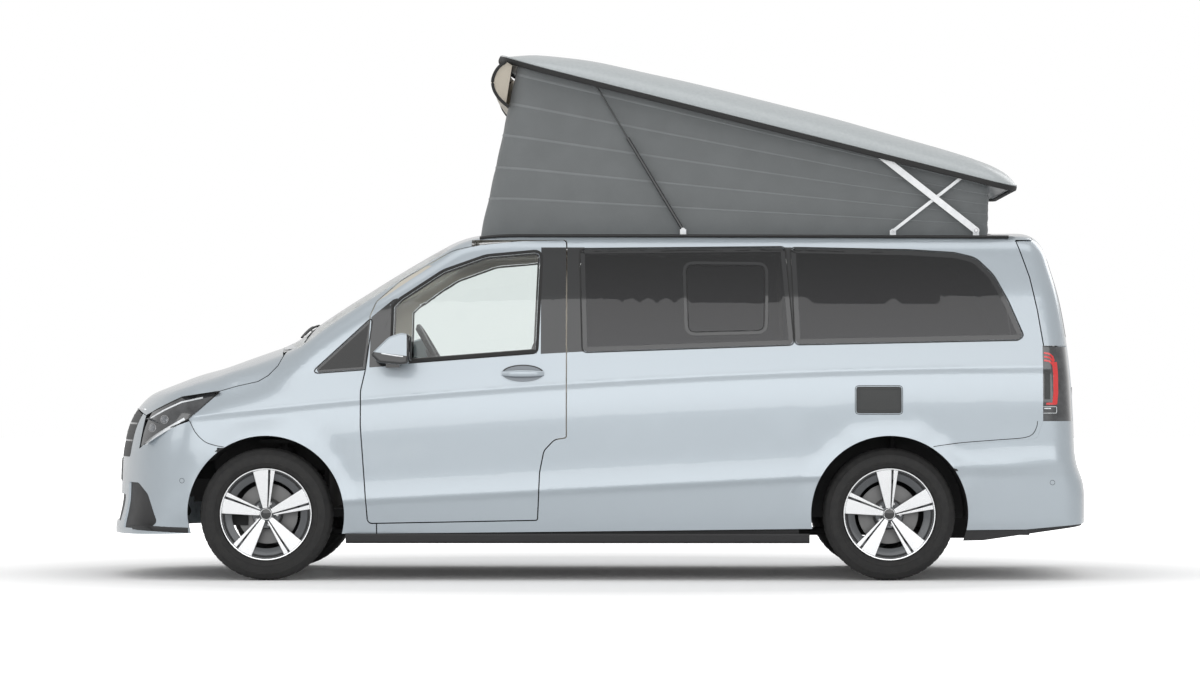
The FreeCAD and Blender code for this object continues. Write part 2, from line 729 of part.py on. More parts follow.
def make_side_panel(door_hole):
    front = FRONT_AXLE + DOOR_FRONT + 40 + GAP
    wall = slab(section_ray, corner_steps(front - 40, FAN_END + 500), list(range(0, CORNER_ROW + 3)), 0, S.side_wall)
    low = S.skirt_height
    outline = [(front, low), (REAR_AXLE, low + 30)] + BUMPER_LINE + [(LAMP_FRONT, LAMP_TOP_Z)]
    outline += TAIL_EDGE[::-1][:-1] + [(TAIL_EDGE[0][0], CANT + 2), (front, CANT + 2)]
    wall = wall.common(prism(outline, "XZ", -WIDE, -CANT_INNER))
    post = FRONT_AXLE + DOOR_REAR - 150
    wall = wall.cut(box(front - 100, post, -WIDE, -300, SILL + 420, 2200))
    wall = wall.cut(wheel_hole(REAR_AXLE, S.arch_radius)).cut(door_hole)
    wall = wall.cut(box(LAMP_FRONT - 60, TAIL + 50, -LAMP_INNER, 0, 0, LAMP_TOP_Z + GAP))
    return wall.cut(side_prism(MIDDLE_WINDOW)).cut(side_prism(REAR_WINDOW))


def pane(points, start, end, first_row, last_row):
    wall = slab(section_ray, steps(start, end, PITCH), list(range(first_row, last_row)), S.glass_inset,
                S.glass_inset + S.glass_wall)
    return wall.common(side_prism(points, grow=-SEAT))


def make_side_windows(door_hole):
    left = [pane(MIDDLE_WINDOW, FRONT_AXLE + 1560, REAR_AXLE - 430, BELT_ROW - 3, CORNER_ROW + 3),
            pane(REAR_WINDOW, REAR_AXLE - 560, REAR_AXLE + 740, BELT_ROW - 3, CORNER_ROW + 3),
            pane(QUARTER_GLASS, FRONT_AXLE + 180, FRONT_AXLE + 600, BELT_ROW - 8, CORNER_ROW).cut(door_hole)]
    return Part.makeCompound(left + [mirrored(p) for p in left])


def make_door(hinge, outline):
    wall = slab(section_ray, steps(FRONT_AXLE + DOOR_FRONT - 90, FRONT_AXLE + DOOR_REAR + 60, PITCH),
                list(range(0, CORNER_ROW + 3)), 0, S.door_wall)
    door = wall.common(side_prism(outline))
    return door.cut(side_prism(DOOR_WINDOW)).cut(swing_limit(hinge))


def swing_limit(hinge):
    """Ring outside the path of the door's outer rear edge, about its hinge."""
    x = FRONT_AXLE + DOOR_REAR
    heights = [SILL - 30] + steps(SILL, CANT, 120) + [CANT + 60]
    rim = [Vector(hinge.x + math.hypot(x - hinge.x, -half_width(x, z) - hinge.y), hinge.y, z) for z in heights]
    far = Vector(hinge.x + 1300, hinge.y, 0)
    loop = rim + [Vector(far.x, far.y, heights[-1]), Vector(far.x, far.y, heights[0]), rim[0]]
    return Part.Face(Part.makePolygon(loop)).revolve(Vector(hinge.x, hinge.y, 0), Vector(0, 0, 1), 360)


def make_door_window():
    return pane(DOOR_WINDOW, FRONT_AXLE + 600, FRONT_AXLE + DOOR_REAR, BELT_ROW - 5, CORNER_ROW + 2)


HINGE = Vector(FRONT_AXLE + DOOR_FRONT + 25, -(HALF - S.hinge_inboard), 0)


def make_nose():
    """Front bumper, grille and headlamps share the nose's skin."""
    return slab(nose_ray, steps(-90, 90, 3.75), steps(-36, 36, 3.6), 0, S.bumper_wall)


HEADLAMP = LAMP_TOP + [(NOSE + 482, BELT - 340), (NOSE + 344, BELT - 400), (NOSE + 261, BELT - 452),
                       (NOSE + 200, BELT - 496)]
GRILLE_LOW, GRILLE_HALF = BELT - 539, 560
BUMPER = [(NOSE - 60, S.skirt_height - 14), (FRONT_AXLE - 250, S.skirt_height + 4),
          (FRONT_AXLE - 250, BELT - 487), (NOSE + 687, BELT - 487), (NOSE + 567, BELT - 458),
          (NOSE + 487, BELT - 350)] + HEADLAMP[4:] + [LAMP_TOP[0], (NOSE + 130, S.bonnet_lip - 15 - GAP),
                                                      (NOSE - 60, S.bonnet_lip - 8 - GAP)]


INTAKE_SIDE = [(NOSE - 60, 500), (NOSE + 201, 498, 30), (NOSE + 259, 441, 60), (NOSE + 314, 296, 24),
               (NOSE + 268, 262, 20), (NOSE - 60, 262)]
INTAKE_SPLIT, INTAKE_HALF = 560, 500
INTAKE_LOW_Z, INTAKE_TOP_Z = 292, 432


def intakes(grow):
    """Lower air intakes of the front bumper: one in the middle and one at each corner."""
    corner = prism(INTAKE_SIDE, "XZ", -WIDE, -INTAKE_SPLIT + grow, 0, grow)
    half = INTAKE_HALF + grow
    low, high = INTAKE_LOW_Z - grow, INTAKE_TOP_Z + grow
    middle = prism([(-half + 30, low), (half - 30, low), (half, high), (-half, high)], "YZ", NOSE - 60, NOSE + 400, 24)
    return [corner, mirrored(corner), middle]


def make_front_bumper(nose, lamp_hole, grille_hole):
    bumper = nose.common(prism(BUMPER, "XZ", -WIDE, WIDE))
    bumper = bumper.cut(wheel_hole(FRONT_AXLE, S.arch_radius)).cut(lamp_hole).cut(mirrored(lamp_hole))
    for hole in intakes(0):
        bumper = bumper.cut(hole)
    return bumper.cut(grille_hole)


def make_intake_grilles():
    """Black inserts that close the intakes a little behind the bumper's skin."""
    wall = slab(nose_ray, steps(-90, 90, 3.75), steps(-36, 12, 3.6), 12, 20)
    return Part.makeCompound([wall.common(hole) for hole in intakes(-SEAT)])


def make_grille(nose):
    """Grille frame with cross bars, filling the space over the bumper."""
    outline = [(-GRILLE_HALF, GRILLE_LOW), (GRILLE_HALF, GRILLE_LOW), (GRILLE_HALF + 20, S.bonnet_lip + 60),
               (-GRILLE_HALF - 20, S.bonnet_lip + 60)]
    hole = prism(outline, "YZ", NOSE - 100, NOSE + 500, 20)
    below_bonnet = prism([(NOSE - 60, 300), (NOSE + 700, 300), (NOSE + 700, S.bonnet_lip - 60),
                          (LAMP_TOP[0][0], LAMP_TOP[0][1] - GAP), (NOSE + 130, S.bonnet_lip - 15 - GAP),
                          (NOSE - 60, S.bonnet_lip - 8 - GAP)], "XZ", -WIDE, WIDE)
    return nose.common(hole).common(below_bonnet)


TAIL_STEPS = steps(-90, 90, 3.75)
TAIL_ROWS = steps(150, TAIL_FAN_Z + 300, 36)
GATE_SIDE = LAMP_INNER - GAP
GATE_LOW = BUMPER_TOP_Z + GAP
GATE_WINDOW = [(-680, BELT + 92, 30), (680, BELT + 92, 30), (640, CANT - 100, 60), (0, CANT - 78, 900),
               (-640, CANT - 100, 60)]


def make_tailgate():
    wall = slab(tail_ray, TAIL_STEPS, TAIL_ROWS, 0, S.gate_wall)
    edge = [(x + GAP, z) for x, z in TAIL_EDGE]
    upper = [(TAIL + 50, CANT + 200), (GATE_TOP + GAP, CANT + 200), (GATE_TOP + GAP, CANT + 2)] + edge[1:]
    upper += [(edge[-1][0], LAMP_TOP_Z + GAP), (TAIL + 50, LAMP_TOP_Z + GAP)]
    lower = box(TAIL - 250, TAIL + 50, -GATE_SIDE, GATE_SIDE, GATE_LOW, LAMP_TOP_Z + GAP + 5)
    shape = wall.common(prism(upper, "XZ", -WIDE, WIDE)).fuse(wall.common(lower))
    return shape.removeSplitter().cut(prism(GATE_WINDOW, "YZ", TAIL - 500, TAIL + 50))


def make_tail_panes():
    wall = slab(tail_ray, steps(-60, 60, 3.75), steps(BELT, TAIL_FAN_Z + 200, 36), S.glass_inset,
                S.glass_inset + S.glass_wall)
    return wall.common(prism(GATE_WINDOW, "YZ", TAIL - 500, TAIL + 50, grow=-SEAT))


def make_tail_lamps():
    wall = slab(tail_ray, steps(20, 90, 2.5), steps(LAMP_LOW_Z - 60, LAMP_TOP_Z + 60, 25), 1, 48)
    lamp = wall.common(box(LAMP_FRONT + SEAT, TAIL + 50, -WIDE, -LAMP_INNER, LAMP_LOW_Z + SEAT, LAMP_TOP_Z - SEAT))
    return Part.makeCompound([lamp, mirrored(lamp)])


BUMPER_STEPS = steps(-105, 105, 3.75)
BUMPER_LOW = [(REAR_AXLE, 255), (REAR_AXLE + 700, 262), (TAIL + 50, 300)]


def make_rear_bumper():
    wall = slab(tail_ray, BUMPER_STEPS, TAIL_ROWS[:20], 0, S.bumper_wall)
    top = [(p[0] + SEAT, p[1] - SEAT) + tuple(p[2:]) for p in BUMPER_LINE]
    top += [(top[-1][0] + SEAT, LAMP_LOW_Z - SEAT), (TAIL + 50, LAMP_LOW_Z - SEAT)]
    bumper = wall.common(prism(BUMPER_LOW + top[::-1], "XZ", -WIDE, WIDE))
    gate = box(TAIL - 400, TAIL + 50, -LAMP_INNER, LAMP_INNER, BUMPER_TOP_Z - SEAT, LAMP_TOP_Z)
    return bumper.cut(gate).cut(wheel_hole(REAR_AXLE, S.arch_radius))


def make_rear_valance():
    """Black undertray edge below the rear bumper, set back from its skin."""
    wall = slab(tail_ray, BUMPER_STEPS, TAIL_ROWS[:6], 14, 28)
    low = [(REAR_AXLE + 300, 203), (REAR_AXLE + 480, 205), (TAIL - 60, 280), (TAIL + 50, 288)]
    outline = low + [(x, z - SEAT) for x, z in BUMPER_LOW[:0:-1]] + [(REAR_AXLE + 300, 255 - SEAT)]
    return wall.common(prism(outline, "XZ", -WIDE, WIDE)).cut(wheel_hole(REAR_AXLE, S.arch_radius))


def make_headlamps():
    wall = slab(nose_ray, steps(30, 90, 2.5), steps(-12, 36, 2.4), 2, S.lamp_depth)
    lamp = wall.common(side_prism(HEADLAMP, 12, -SEAT))
    return Part.makeCompound([lamp, mirrored(lamp)])


FLOOR_TOP = S.sill_height + 60
FLOOR_THICK = 40
HOUSE_WALL = 12
HOUSE_INNER = 590


def air_beside(axle):
    """Space just outside the body's skin round a wheel."""
    near, far = axle - S.arch_radius - 90, axle + S.arch_radius + 90
    return slab(section_ray, steps(near, far, PITCH), list(range(0, BELT_ROW)), -80, 1)


def wheelhouse(axle, walls):
    """Liner over a wheel, from the inside to the side's wall."""
    outer = Part.makeCylinder(S.arch_radius + HOUSE_WALL, HALF - HOUSE_INNER, Vector(axle, -HALF, AXLE_Z),
                              Vector(0, 1, 0))
    inner = Part.makeCylinder(S.arch_radius - 0.5, HALF, Vector(axle, -HALF - HOUSE_INNER - HOUSE_WALL, AXLE_Z),
                              Vector(0, 1, 0))
    shell = outer.cut(inner).cut(box(axle - 600, axle + 600, -WIDE, 0, -300, FLOOR_TOP - FLOOR_THICK))
    return shell.cut(walls).cut(air_beside(axle))


def make_floor(walls):
    x0 = FRONT_AXLE + 440
    wide = HALF - 106
    plan = [(x0, -wide), (TAIL - 130, -wide, 130), (TAIL - 130, wide, 130), (x0, wide)]
    plate = prism(plan, "XY", FLOOR_TOP - FLOOR_THICK, FLOOR_TOP)
    drum = Part.makeCylinder(S.arch_radius, 2 * WIDE, Vector(REAR_AXLE, -WIDE, AXLE_Z), Vector(0, 1, 0))
    drum = drum.cut(box(REAR_AXLE - 600, REAR_AXLE + 600, -HOUSE_INNER, HOUSE_INNER, -100, 1200))
    rear = REAR_AXLE - S.arch_radius - 60
    sill = box(x0 + 140, rear, -HALF + 65, -HALF + 190, S.under_height + 20, S.sill_height - GAP - 1)
    sill = sill.fuse(box(x0 + 140, rear, -wide, -HALF + 190, S.under_height + 20, FLOOR_TOP - FLOOR_THICK))
    sills = [sill, mirrored(sill)]
    houses = [wheelhouse(REAR_AXLE, walls[0])]
    houses.append(mirrored(houses[0]))
    plate = plate.cut(drum).fuse(sills + houses)
    for wall in walls:
        plate = plate.cut(wall)
    return plate.removeSplitter()


HUB_FACE = 70


def make_tyre(name):
    """Tyre: its section turned about the wheel's axis; the tread face carries grooves."""
    tyre = new_body(name)
    bead, outside, wide = cell("bead_radius"), cell("tyre_radius"), cell("tyre_width")
    wall = [(31, bead), (26, bead + 19), (14, bead + 26), (5, bead + 44), (0, outside - 62), (8, outside - 24),
            (26, outside - 5), (52, outside)]
    lining = [(44, bead), (34, bead + 24), (24, bead + 36), (18, outside - 52), (40, outside - 18)]
    corners = [(fixed(y), r) for y, r in wall] + [(wide - y, r) for y, r in wall[::-1]]
    corners += [(wide - y, r) for y, r in lining] + [(fixed(y), r) for y, r in lining[::-1]]
    tyre.Tip = revolved(tyre, sketch_on(tyre, "YZ_Plane", corners), "H_Axis")
    return tyre


def make_rim(name):
    """Alloy rim with five spokes; its outer face is at y = 0 and its hub plate lies deeper."""
    rim = new_body(name)
    bead, lip, wide = cell("bead_radius"), cell("rim_lip"), cell("rim_width")
    inside = bead - cell("rim_wall")
    barrel = [(fixed(0), bead + lip), (fixed(8), bead + lip), (fixed(12), bead), (wide - 12, bead),
              (wide - 8, bead + lip), (wide, bead + lip), (wide, bead + 2), (wide - 16, inside), (fixed(40), inside),
              (fixed(14), inside + 6), (fixed(0), bead + 8)]
    first = revolved(rim, sketch_on(rim, "YZ_Plane", barrel), "H_Axis")
    rim.Tip = first
    hub = cell("hub_radius")
    plate = [(fixed(14), bead - 4), (fixed(34), bead - 4), (fixed(HUB_FACE - 18), hub), (fixed(HUB_FACE), hub),
             (fixed(HUB_FACE), fixed(0)), (fixed(38), fixed(0)), (fixed(38), hub - 12), (fixed(30), hub + 6)]
    sketch = sketch_on(rim, "YZ_Plane", plate, "_plate")
    rim.Tip = revolved(rim, sketch, "H_Axis", name="_plate_turn")
    doc.recompute()
    window = []
    for radius, angle in ((182, 16), (182, 56), (hub.value + 16, 44), (hub.value + 16, 27)):
        cosine, sine = turned(angle)
        window.append((fixed(radius * sine), fixed(radius * cosine)))
    pocket = rim.newObject("PartDesign::Pocket", name + "_window")
    pocket.Profile = sketch_on(rim, "XZ_Plane", window, "_window_outline")
    pocket.Type = 1
    pocket.Midplane = True
    rim.Tip = pocket
    doc.recompute()
    pattern = rim.newObject("PartDesign::PolarPattern", name + "_windows")
    pattern.Originals = [pocket]
    pattern.Axis = (pocket.Profile[0], ["N_Axis"])
    pattern.Angle = 360
    pattern.Occurrences = 5
    rim.Tip = pattern
    return rim


def make_wheels():
    """Four wheels; the right-hand ones are turned about so that they face outwards."""
    for end, axle, track in (("front", FRONT_X, "front_track"), ("rear", REAR_X, "rear_track")):
        for side, sign in (("left", -1), ("right", 1)):
            for make, width in ((make_tyre, "tyre_width"), (make_rim, "rim_width")):
                kind = make.__name__.split("_")[1]
                wheel = make("%s_%s_%s" % (kind, end, side))
                if sign > 0:
                    wheel.Placement = Placement(Vector(0, 0, 0), Rotation(Vector(0, 0, 1), 180))
                outer = cell(track) / 2 + cell(width) / 2
                place(wheel, axle, outer * sign, cell("tyre_radius"))
                node(wheel)


def make_knuckle(side, sign):
    """Front upright with its stub axle, steering pins and brake caliper."""
    name = "knuckle_" + side
    face = cell("front_track") / 2 + cell("rim_width") / 2 - HUB_FACE
    middle = cell("tyre_radius")
    pin = face - 98
    parts = [block(name + "_upright", FRONT_X - 32, pin - 26, middle - 110, 64, 52, 240),
             rod(name + "_stub", FRONT_X, pin + 20, middle, 22, 74, ALONG_Y),
             block(name + "_arm", FRONT_X + 20, pin - 20, middle - 70, 120, 22, 24),
             block(name + "_bridge", FRONT_X - 190, pin - 10, middle - 46, 160, 22, 92)]
    caliper = cut(name + "_caliper", block(name + "_pads", FRONT_X - 196, pin + 8, middle - 60, 96, 60, 120),
                  rod(name + "_disc_room", FRONT_X, pin + 30, middle, cell("disc_radius") + 5, 26, ALONG_Y))
    left = joined(name, parts + [caliper])
    if sign < 0:
        flipped = doc.addObject("Part::Mirroring", name)
        left.Label = name + "_right_hand"
        flipped.Label = name
        flipped.Source = left
        flipped.Normal = Vector(0, 1, 0)
        return node(flipped)
    return node(left)


def make_front_suspension():
    """Cross member, arms, steering rack and coil struts that carry the front uprights."""
    face = number(cell("front_track") / 2 + cell("rim_width") / 2) - HUB_FACE
    pin = face - 98
    middle = cell("tyre_radius")
    parts = [block("front_beam", FRONT_X - 60, -440, middle - 140, 180, 880, 100),
             rod("steering_rack", FRONT_X + 130, 0, middle - 64, 22, 960, ALONG_Y)]
    place(parts[1], FRONT_X + 130, -480, middle - 64)
    for side, sign in (("left", -1), ("right", 1)):
        low = -690 if sign < 0 else 400
        tip = -pin - 14 if sign < 0 else 660
        upper = -pin - 14 if sign < 0 else 470
        parts.append(block("front_arm_" + side, FRONT_X - 30, low, middle - 140, 130, 290, 26))
        parts.append(block("front_arm_end_" + side, FRONT_X - 22, tip, middle - 140, 44, pin - 646, 26))
        parts.append(block("front_upper_arm_" + side, FRONT_X - 22, upper, middle + 130.3, 44, pin - 456, 26))
        parts.append(rod("front_ball_" + side, FRONT_X, pin * sign, middle - 130, 16, 19.7))
        parts.append(rod("front_damper_" + side, FRONT_X + 75, 590 * sign, middle - 120, 18, 480))
        parts.append(rod("front_spring_" + side, FRONT_X + 75, 590 * sign, middle + 170, 45, 170))
        parts.append(block("front_leg_" + side, FRONT_X - 30, 420 * sign - 20, middle - 60, 60, 40, 140))
    node(joined("front_suspension", parts))


def make_rear_suspension():
    """Cross member, trailing arms, stub axles and coil dampers of the rear wheels."""
    middle = cell("tyre_radius")
    face = number(cell("rear_track") / 2 + cell("rim_width") / 2) - HUB_FACE
    parts = [block("rear_beam", REAR_X - 240, -690, middle - 98, 120, 1380, 68),
             block("rear_cross", REAR_X - 50, -690, middle - 95, 100, 1380, 55)]
    for side, sign in (("left", -1), ("right", 1)):
        middle_y = 667 * sign
        parts.append(block("rear_trail_" + side, REAR_X - 240, middle_y - 27, middle - 40, 290, 54, 74))
        parts.append(block("rear_foot_" + side, REAR_X - 50, middle_y - 27, middle - 60, 100, 54, 60))
        stub = rod("rear_stub_" + side, REAR_X, 0, middle, 22, face - 667, ALONG_Y)
        place(stub, REAR_X, 667 if sign > 0 else -face, middle)
        parts.append(stub)
        parts.append(rod("rear_damper_" + side, REAR_X + 30, 650 * sign, middle - 10, 16, S.arch_radius + 6.5))
        parts.append(rod("rear_coil_" + side, REAR_X + 30, 650 * sign, middle + 80, 42, 230))
    node(joined("rear_suspension", parts))


def make_brakes():
    """Hub and brake disc of each wheel; they turn with the rim."""
    for end, axle, track in (("front", FRONT_X, "front_track"), ("rear", REAR_X, "rear_track")):
        face = cell(track) / 2 + cell("rim_width") / 2 - HUB_FACE
        for side, sign in (("left", -1), ("right", 1)):
            name = "disc_%s_%s" % (end, side)
            disc = new_body(name)
            inner, outer = fixed(22 + S.seat_gap), cell("disc_radius")
            hat, hub = fixed(82), fixed(74)
            corners = [(fixed(0), inner), (fixed(0), hub), (fixed(45), hat), (fixed(45), outer), (fixed(65), outer),
                       (fixed(65), inner)]
            disc.Tip = revolved(disc, sketch_on(disc, "YZ_Plane", corners), "H_Axis")
            if sign > 0:
                disc.Placement = Placement(Vector(0, 0, 0), Rotation(Vector(0, 0, 1), 180))
            place(disc, axle, face * sign, cell("tyre_radius"))
            node(disc)


def make_running_gear():
    """Engine with its gearbox, fuel tank and exhaust."""
    middle = cell("tyre_radius")
    engine = block("engine_block", FRONT_X - 430, cell("engine_width") * -0.5, middle + 50,
                   cell("engine_length") - 100, cell("engine_width"), cell("engine_height") - 150)
    gearbox = block("gearbox", FRONT_X - 300, -240, middle - 30, 460, 480, 90)
    mounts = [block("engine_mount_%d" % k, FRONT_X - 200, y, middle + 110, 60, 56, 40)
              for k, y in enumerate((-400, 344))]
    node(joined("engine", [engine, gearbox] + mounts))
    tank = block("tank", FRONT_X + 1000, -520, FLOOR_TOP - FLOOR_THICK - S.tank_height, cell("tank_length"),
                 cell("tank_width"), cell("tank_height"))
    doc.recompute()
    rounded_tank = doc.addObject("Part::Fillet", "fuel_tank")
    rounded_tank.Label = "fuel_tank"
    rounded_tank.Base = tank
    rounded_tank.Edges = [(i + 1, 24.0, 24.0) for i in range(len(tank.Shape.Edges))]
    node(rounded_tank)
    pipe_z = FLOOR_TOP - FLOOR_THICK - 98
    run = REAR_AXLE - FRONT_AXLE
    parts = [rod("exhaust_pipe", FRONT_X + 260, 180, pipe_z, 22, run + 560, ALONG_X),
             block("silencer_front", FRONT_X + 900, 70, pipe_z - 30, 700, 220, 110),
             block("silencer_rear", REAR_X + 300, -40, pipe_z - 30, 260, 430, 110),
             rod("exhaust_tail", REAR_X + 520, 330, pipe_z, 24, 250, ALONG_X),
             block("exhaust_hanger_front", FRONT_X + 1200, 170, pipe_z + 70, 30, 20, 28),
             block("exhaust_hanger_rear", REAR_X + 420, 170, pipe_z + 70, 30, 20, 28)]
    node(joined("exhaust", parts))


def under_bonnet(x, y):
    """Height just below the bonnet's underside, over a small round seat."""
    ring = [Vector(x + 12 * turned(45 * k)[0], y + 12 * turned(45 * k)[1], CORE_Z) for k in range(8)]
    return min(skin_point(at, Vector(0, 0, 1), S.bonnet_wall).z for at in ring) - SEAT


def make_front_frame(panels):
    """Rails, firewall, front liners and lamp carrier behind the front panels."""
    rails = [block("rail_%d" % k, NOSE_X + 150, y, 420, FRONT_AXLE - NOSE + 120, 70, 90)
             for k, y in enumerate((-470, 400))]
    wall = block("firewall", FRONT_X + 270, -500, FLOOR_TOP - FLOOR_THICK, 25, 1000, 740)
    toe = block("toe_board", FRONT_X + 270, -500, FLOOR_TOP - FLOOR_THICK, 170, 1000, FLOOR_THICK)
    beam = block("crash_beam", NOSE_X + 130, -470, 420, 60, 940, 100)
    lamp_bar = block("lamp_bar", NOSE_X + 300, -520, 740, 60, 1040, 50)
    posts = [block("lamp_post_%d" % k, NOSE_X + 300, y, 500, 60, 60, 260) for k, y in enumerate((-465, 405))]
    stops = []
    for k, (x, y, low) in enumerate(((NOSE_X + 330, 430, 780), (FRONT_X - 20, 520, 710))):
        for side in (-1, 1):
            height = under_bonnet(number(x), y * side) - low
            stops.append(rod("bonnet_stop_%d%d" % (k, side + 1), x, y * side, low, 12, height))
    towers = [block("spring_tower_%d" % k, FRONT_X - 60, y, 420, 200, 12, 420) for k, y in enumerate((-412, 400))]
    caps = [block("tower_cap_%d" % k, FRONT_X - 60, y, 700, 200, 250, 20) for k, y in enumerate((-650, 400))]
    frame = joined("front_frame_bars", rails + [wall, toe, beam, lamp_bar] + posts + towers + caps + stops)
    doc.recompute()
    liner = Part.makeCylinder(S.arch_radius + HOUSE_WALL, HALF - 515, Vector(FRONT_AXLE, -HALF, AXLE_Z), Vector(0, 1, 0))
    liner = liner.cut(wheel_hole(FRONT_AXLE, S.arch_radius))
    liner = liner.cut(box(-3000, 0, -WIDE, 0, -300, FLOOR_TOP - FLOOR_THICK))
    liner = liner.cut(box(-3000, FRONT_AXLE - 300, -WIDE, 0, 0, 900)).cut(air_beside(FRONT_AXLE))
    flange = Part.makeCylinder(S.arch_radius + HOUSE_WALL, 12, Vector(FRONT_AXLE, -515, AXLE_Z), Vector(0, 1, 0))
    flange = flange.cut(box(-3000, 0, -WIDE, 0, -300, 560)).cut(box(-3000, FRONT_AXLE - 300, -WIDE, 0, 0, 900))
    whole = frame.Shape.fuse([liner, mirrored(liner), flange, mirrored(flange)])
    for panel in panels:
        whole = whole.cut(panel)
    keep("front_frame", whole)


def make_seats():
    seats = []
    for side, y in (("left", -640), ("right", 160)):
        parts = [block("seat_base_" + side, FRONT_X + 1000, y + 40, FLOOR_TOP, 400, 400, 260),
                 block("seat_cushion_" + side, FRONT_X + 930, y, FLOOR_TOP + 260, 520, 480, 130),
                 block("seat_back_" + side, FRONT_X + 1380, y + 20, FLOOR_TOP + 300, 120, 440, 620),
                 block("seat_head_" + side, FRONT_X + 1400, y + 110, FLOOR_TOP + 900, 90, 260, 170)]
        seats.append(joined("front_seat_" + side, parts))
    node(grouped("front_seats", seats))
    bench = [block("bench_base", REAR_X - 620, -500, FLOOR_TOP, 480, 1060, 250),
             block("bench_cushion", REAR_X - 640, -500, FLOOR_TOP + 250, 520, 1060, 140),
             block("bench_back", REAR_X - 150, -500, FLOOR_TOP + 270, 130, 1060, 620)]
    node(joined("rear_bench", bench))


def make_dashboard():
    """Dashboard behind the firewall, with its console and the steering column."""
    top = [(-1395, 860), (-1395, 1120), (-1180, 1150), (-1020, 1130), (-1000, 1050), (-1080, 900), (-1200, 840)]
    body = prism(top, "XZ", -700, 700, 30)
    console = box(-1225, -1050, -130, 130, FLOOR_TOP, 900)
    wheel = Vector(-839, -400, 1150)
    way = Vector(-math.cos(math.radians(30)), 0, -math.sin(math.radians(30)))
    column = Part.makeCylinder(24, 250, wheel + way * 40, way)
    keep("dashboard", body.fuse([console, column]).removeSplitter())
    ring = Part.makeTorus(184, 14, wheel, way)
    hub = Part.makeCylinder(62, 34, wheel, way)
    spokes = [Part.makeBox(28, 368, 16, Vector(-14, -184, 6)), Part.makeBox(184, 28, 16, Vector(0, -14, 6))]
    turn = Rotation(Vector(0, 0, 1), way)
    for spoke in spokes:
        spoke.Placement = Placement(wheel, turn)
    hub = hub.fuse(Part.makeCylinder(30, 10, wheel + way * 30, way))
    keep("steering_wheel", ring.fuse([hub] + spokes))


def make_kitchen():
    kitchen = block("kitchen_unit", FRONT_X + 1850, -820, FLOOR_TOP, 930, 250, 760)
    node(kitchen)


def make_mirror():
    """Left outside mirror with its foot on the door, seen from the front as a rounded box."""
    side = [(-1142, 1158, 14), (-1098, 1116, 30), (-985, 1106, 30), (-950, 1112, 16), (-942, 1190, 60),
            (-946, 1262, 20), (-985, 1269, 40), (-1050, 1248, 90)]
    shell = prism(side, "XZ", -1120, -985)
    edges = [e for e in shell.Edges if e.BoundBox.YLength < 1]
    shell = shell.makeFillet(13, edges)
    foot = box(-1070, -1000, -1000, -HALF + 74, 1092, 1135)
    return shell.fuse(foot)


def make_sill_trims():
    """Dark lower edge of the body between the wheels, outside the floor's sills."""
    top, low = S.skirt_height - SEAT, S.under_height + 10
    inner, outer = -HALF + 65 - SEAT, -HALF + 46
    outline = [(inner, top), (outer, top), (outer - 3, top - 8), (outer + 4, low + 14, 12), (outer + 14, low), (inner, low)]
    trim = prism(outline, "YZ", FRONT_AXLE + S.arch_radius + 6, REAR_AXLE - S.arch_radius - 6)
    return Part.makeCompound([trim, mirrored(trim)])


POP_X, POP_Z = FRONT_AXLE + 1222, S.roof_height + 870
POP_PIVOT = (2010, 6)
LIFT_X, LIFT_Z = REAR_AXLE + 467, S.roof_height - 6
LINK_PIVOT = (2449, 4)
LINK_FOOT_X, LINK_FOOT_Z = REAR_AXLE + 36, S.roof_height - 8
STRUT_TOP = (477, 8)
STRUT_FOOT_X, STRUT_FOOT_Z = FRONT_AXLE + 2145, S.roof_height - 3
ARM_Y, LINK_Y, STRUT_Y = 657, 645, 635
ARM_WIDTH = 34
ARM_CLOSED = (633, 7)
PIN_PLAY = 0.06


def pop_point(u, y, w):
    """Point of the raised roof: u along its rim from the front, w above the rim."""
    cosine, sine = turned(S.pop_angle)
    return Vector(POP_X + u * cosine + w * sine, y, POP_Z - u * sine + w * cosine)


pop_height = curve(((-64, 0.30), (37, 0.53), (141, 0.69), (249, 0.76), (465, 0.89), (684, 0.93), (1013, 0.99),
                    (1343, 1.0), (1675, 1.0), (2009, 0.945), (2343, 0.88), (2566, 0.82), (2680, 0.76),
                    (2764, 0.44)))
POP_RIM_ARCH = 40


def pop_half_outline(inset):
    """Left half of the raised roof's rim, from the rear's middle to the front's."""
    half = S.pop_half_width - inset
    front, rear = -64 + inset, S.pop_length + 42 - inset
    front_round, rear_round = 300 - inset, 150 - inset
    points = [Vector(rear - 26 * (k / 5) ** 2, -(half - rear_round) * k / 5, 0) for k in range(6)]
    for k in range(1, 6):
        cosine, sine = turned(18 * k)
        points.append(Vector(rear - 26 - rear_round + rear_round * cosine, -(half - rear_round + rear_round * sine), 0))
    start, end = rear - 26 - rear_round, front + 40 + front_round
    points += [Vector(start + (end - start) * k / 14, -half, 0) for k in range(1, 15)]
    for k in range(1, 6):
        cosine, sine = turned(18 * k)
        points.append(Vector(end - front_round * sine, -(half - front_round + front_round * cosine), 0))
    points += [Vector(front + 40 * (1 - k / 5) ** 2, -(half - front_round) * (1 - k / 5), 0) for k in range(1, 6)]
    return points


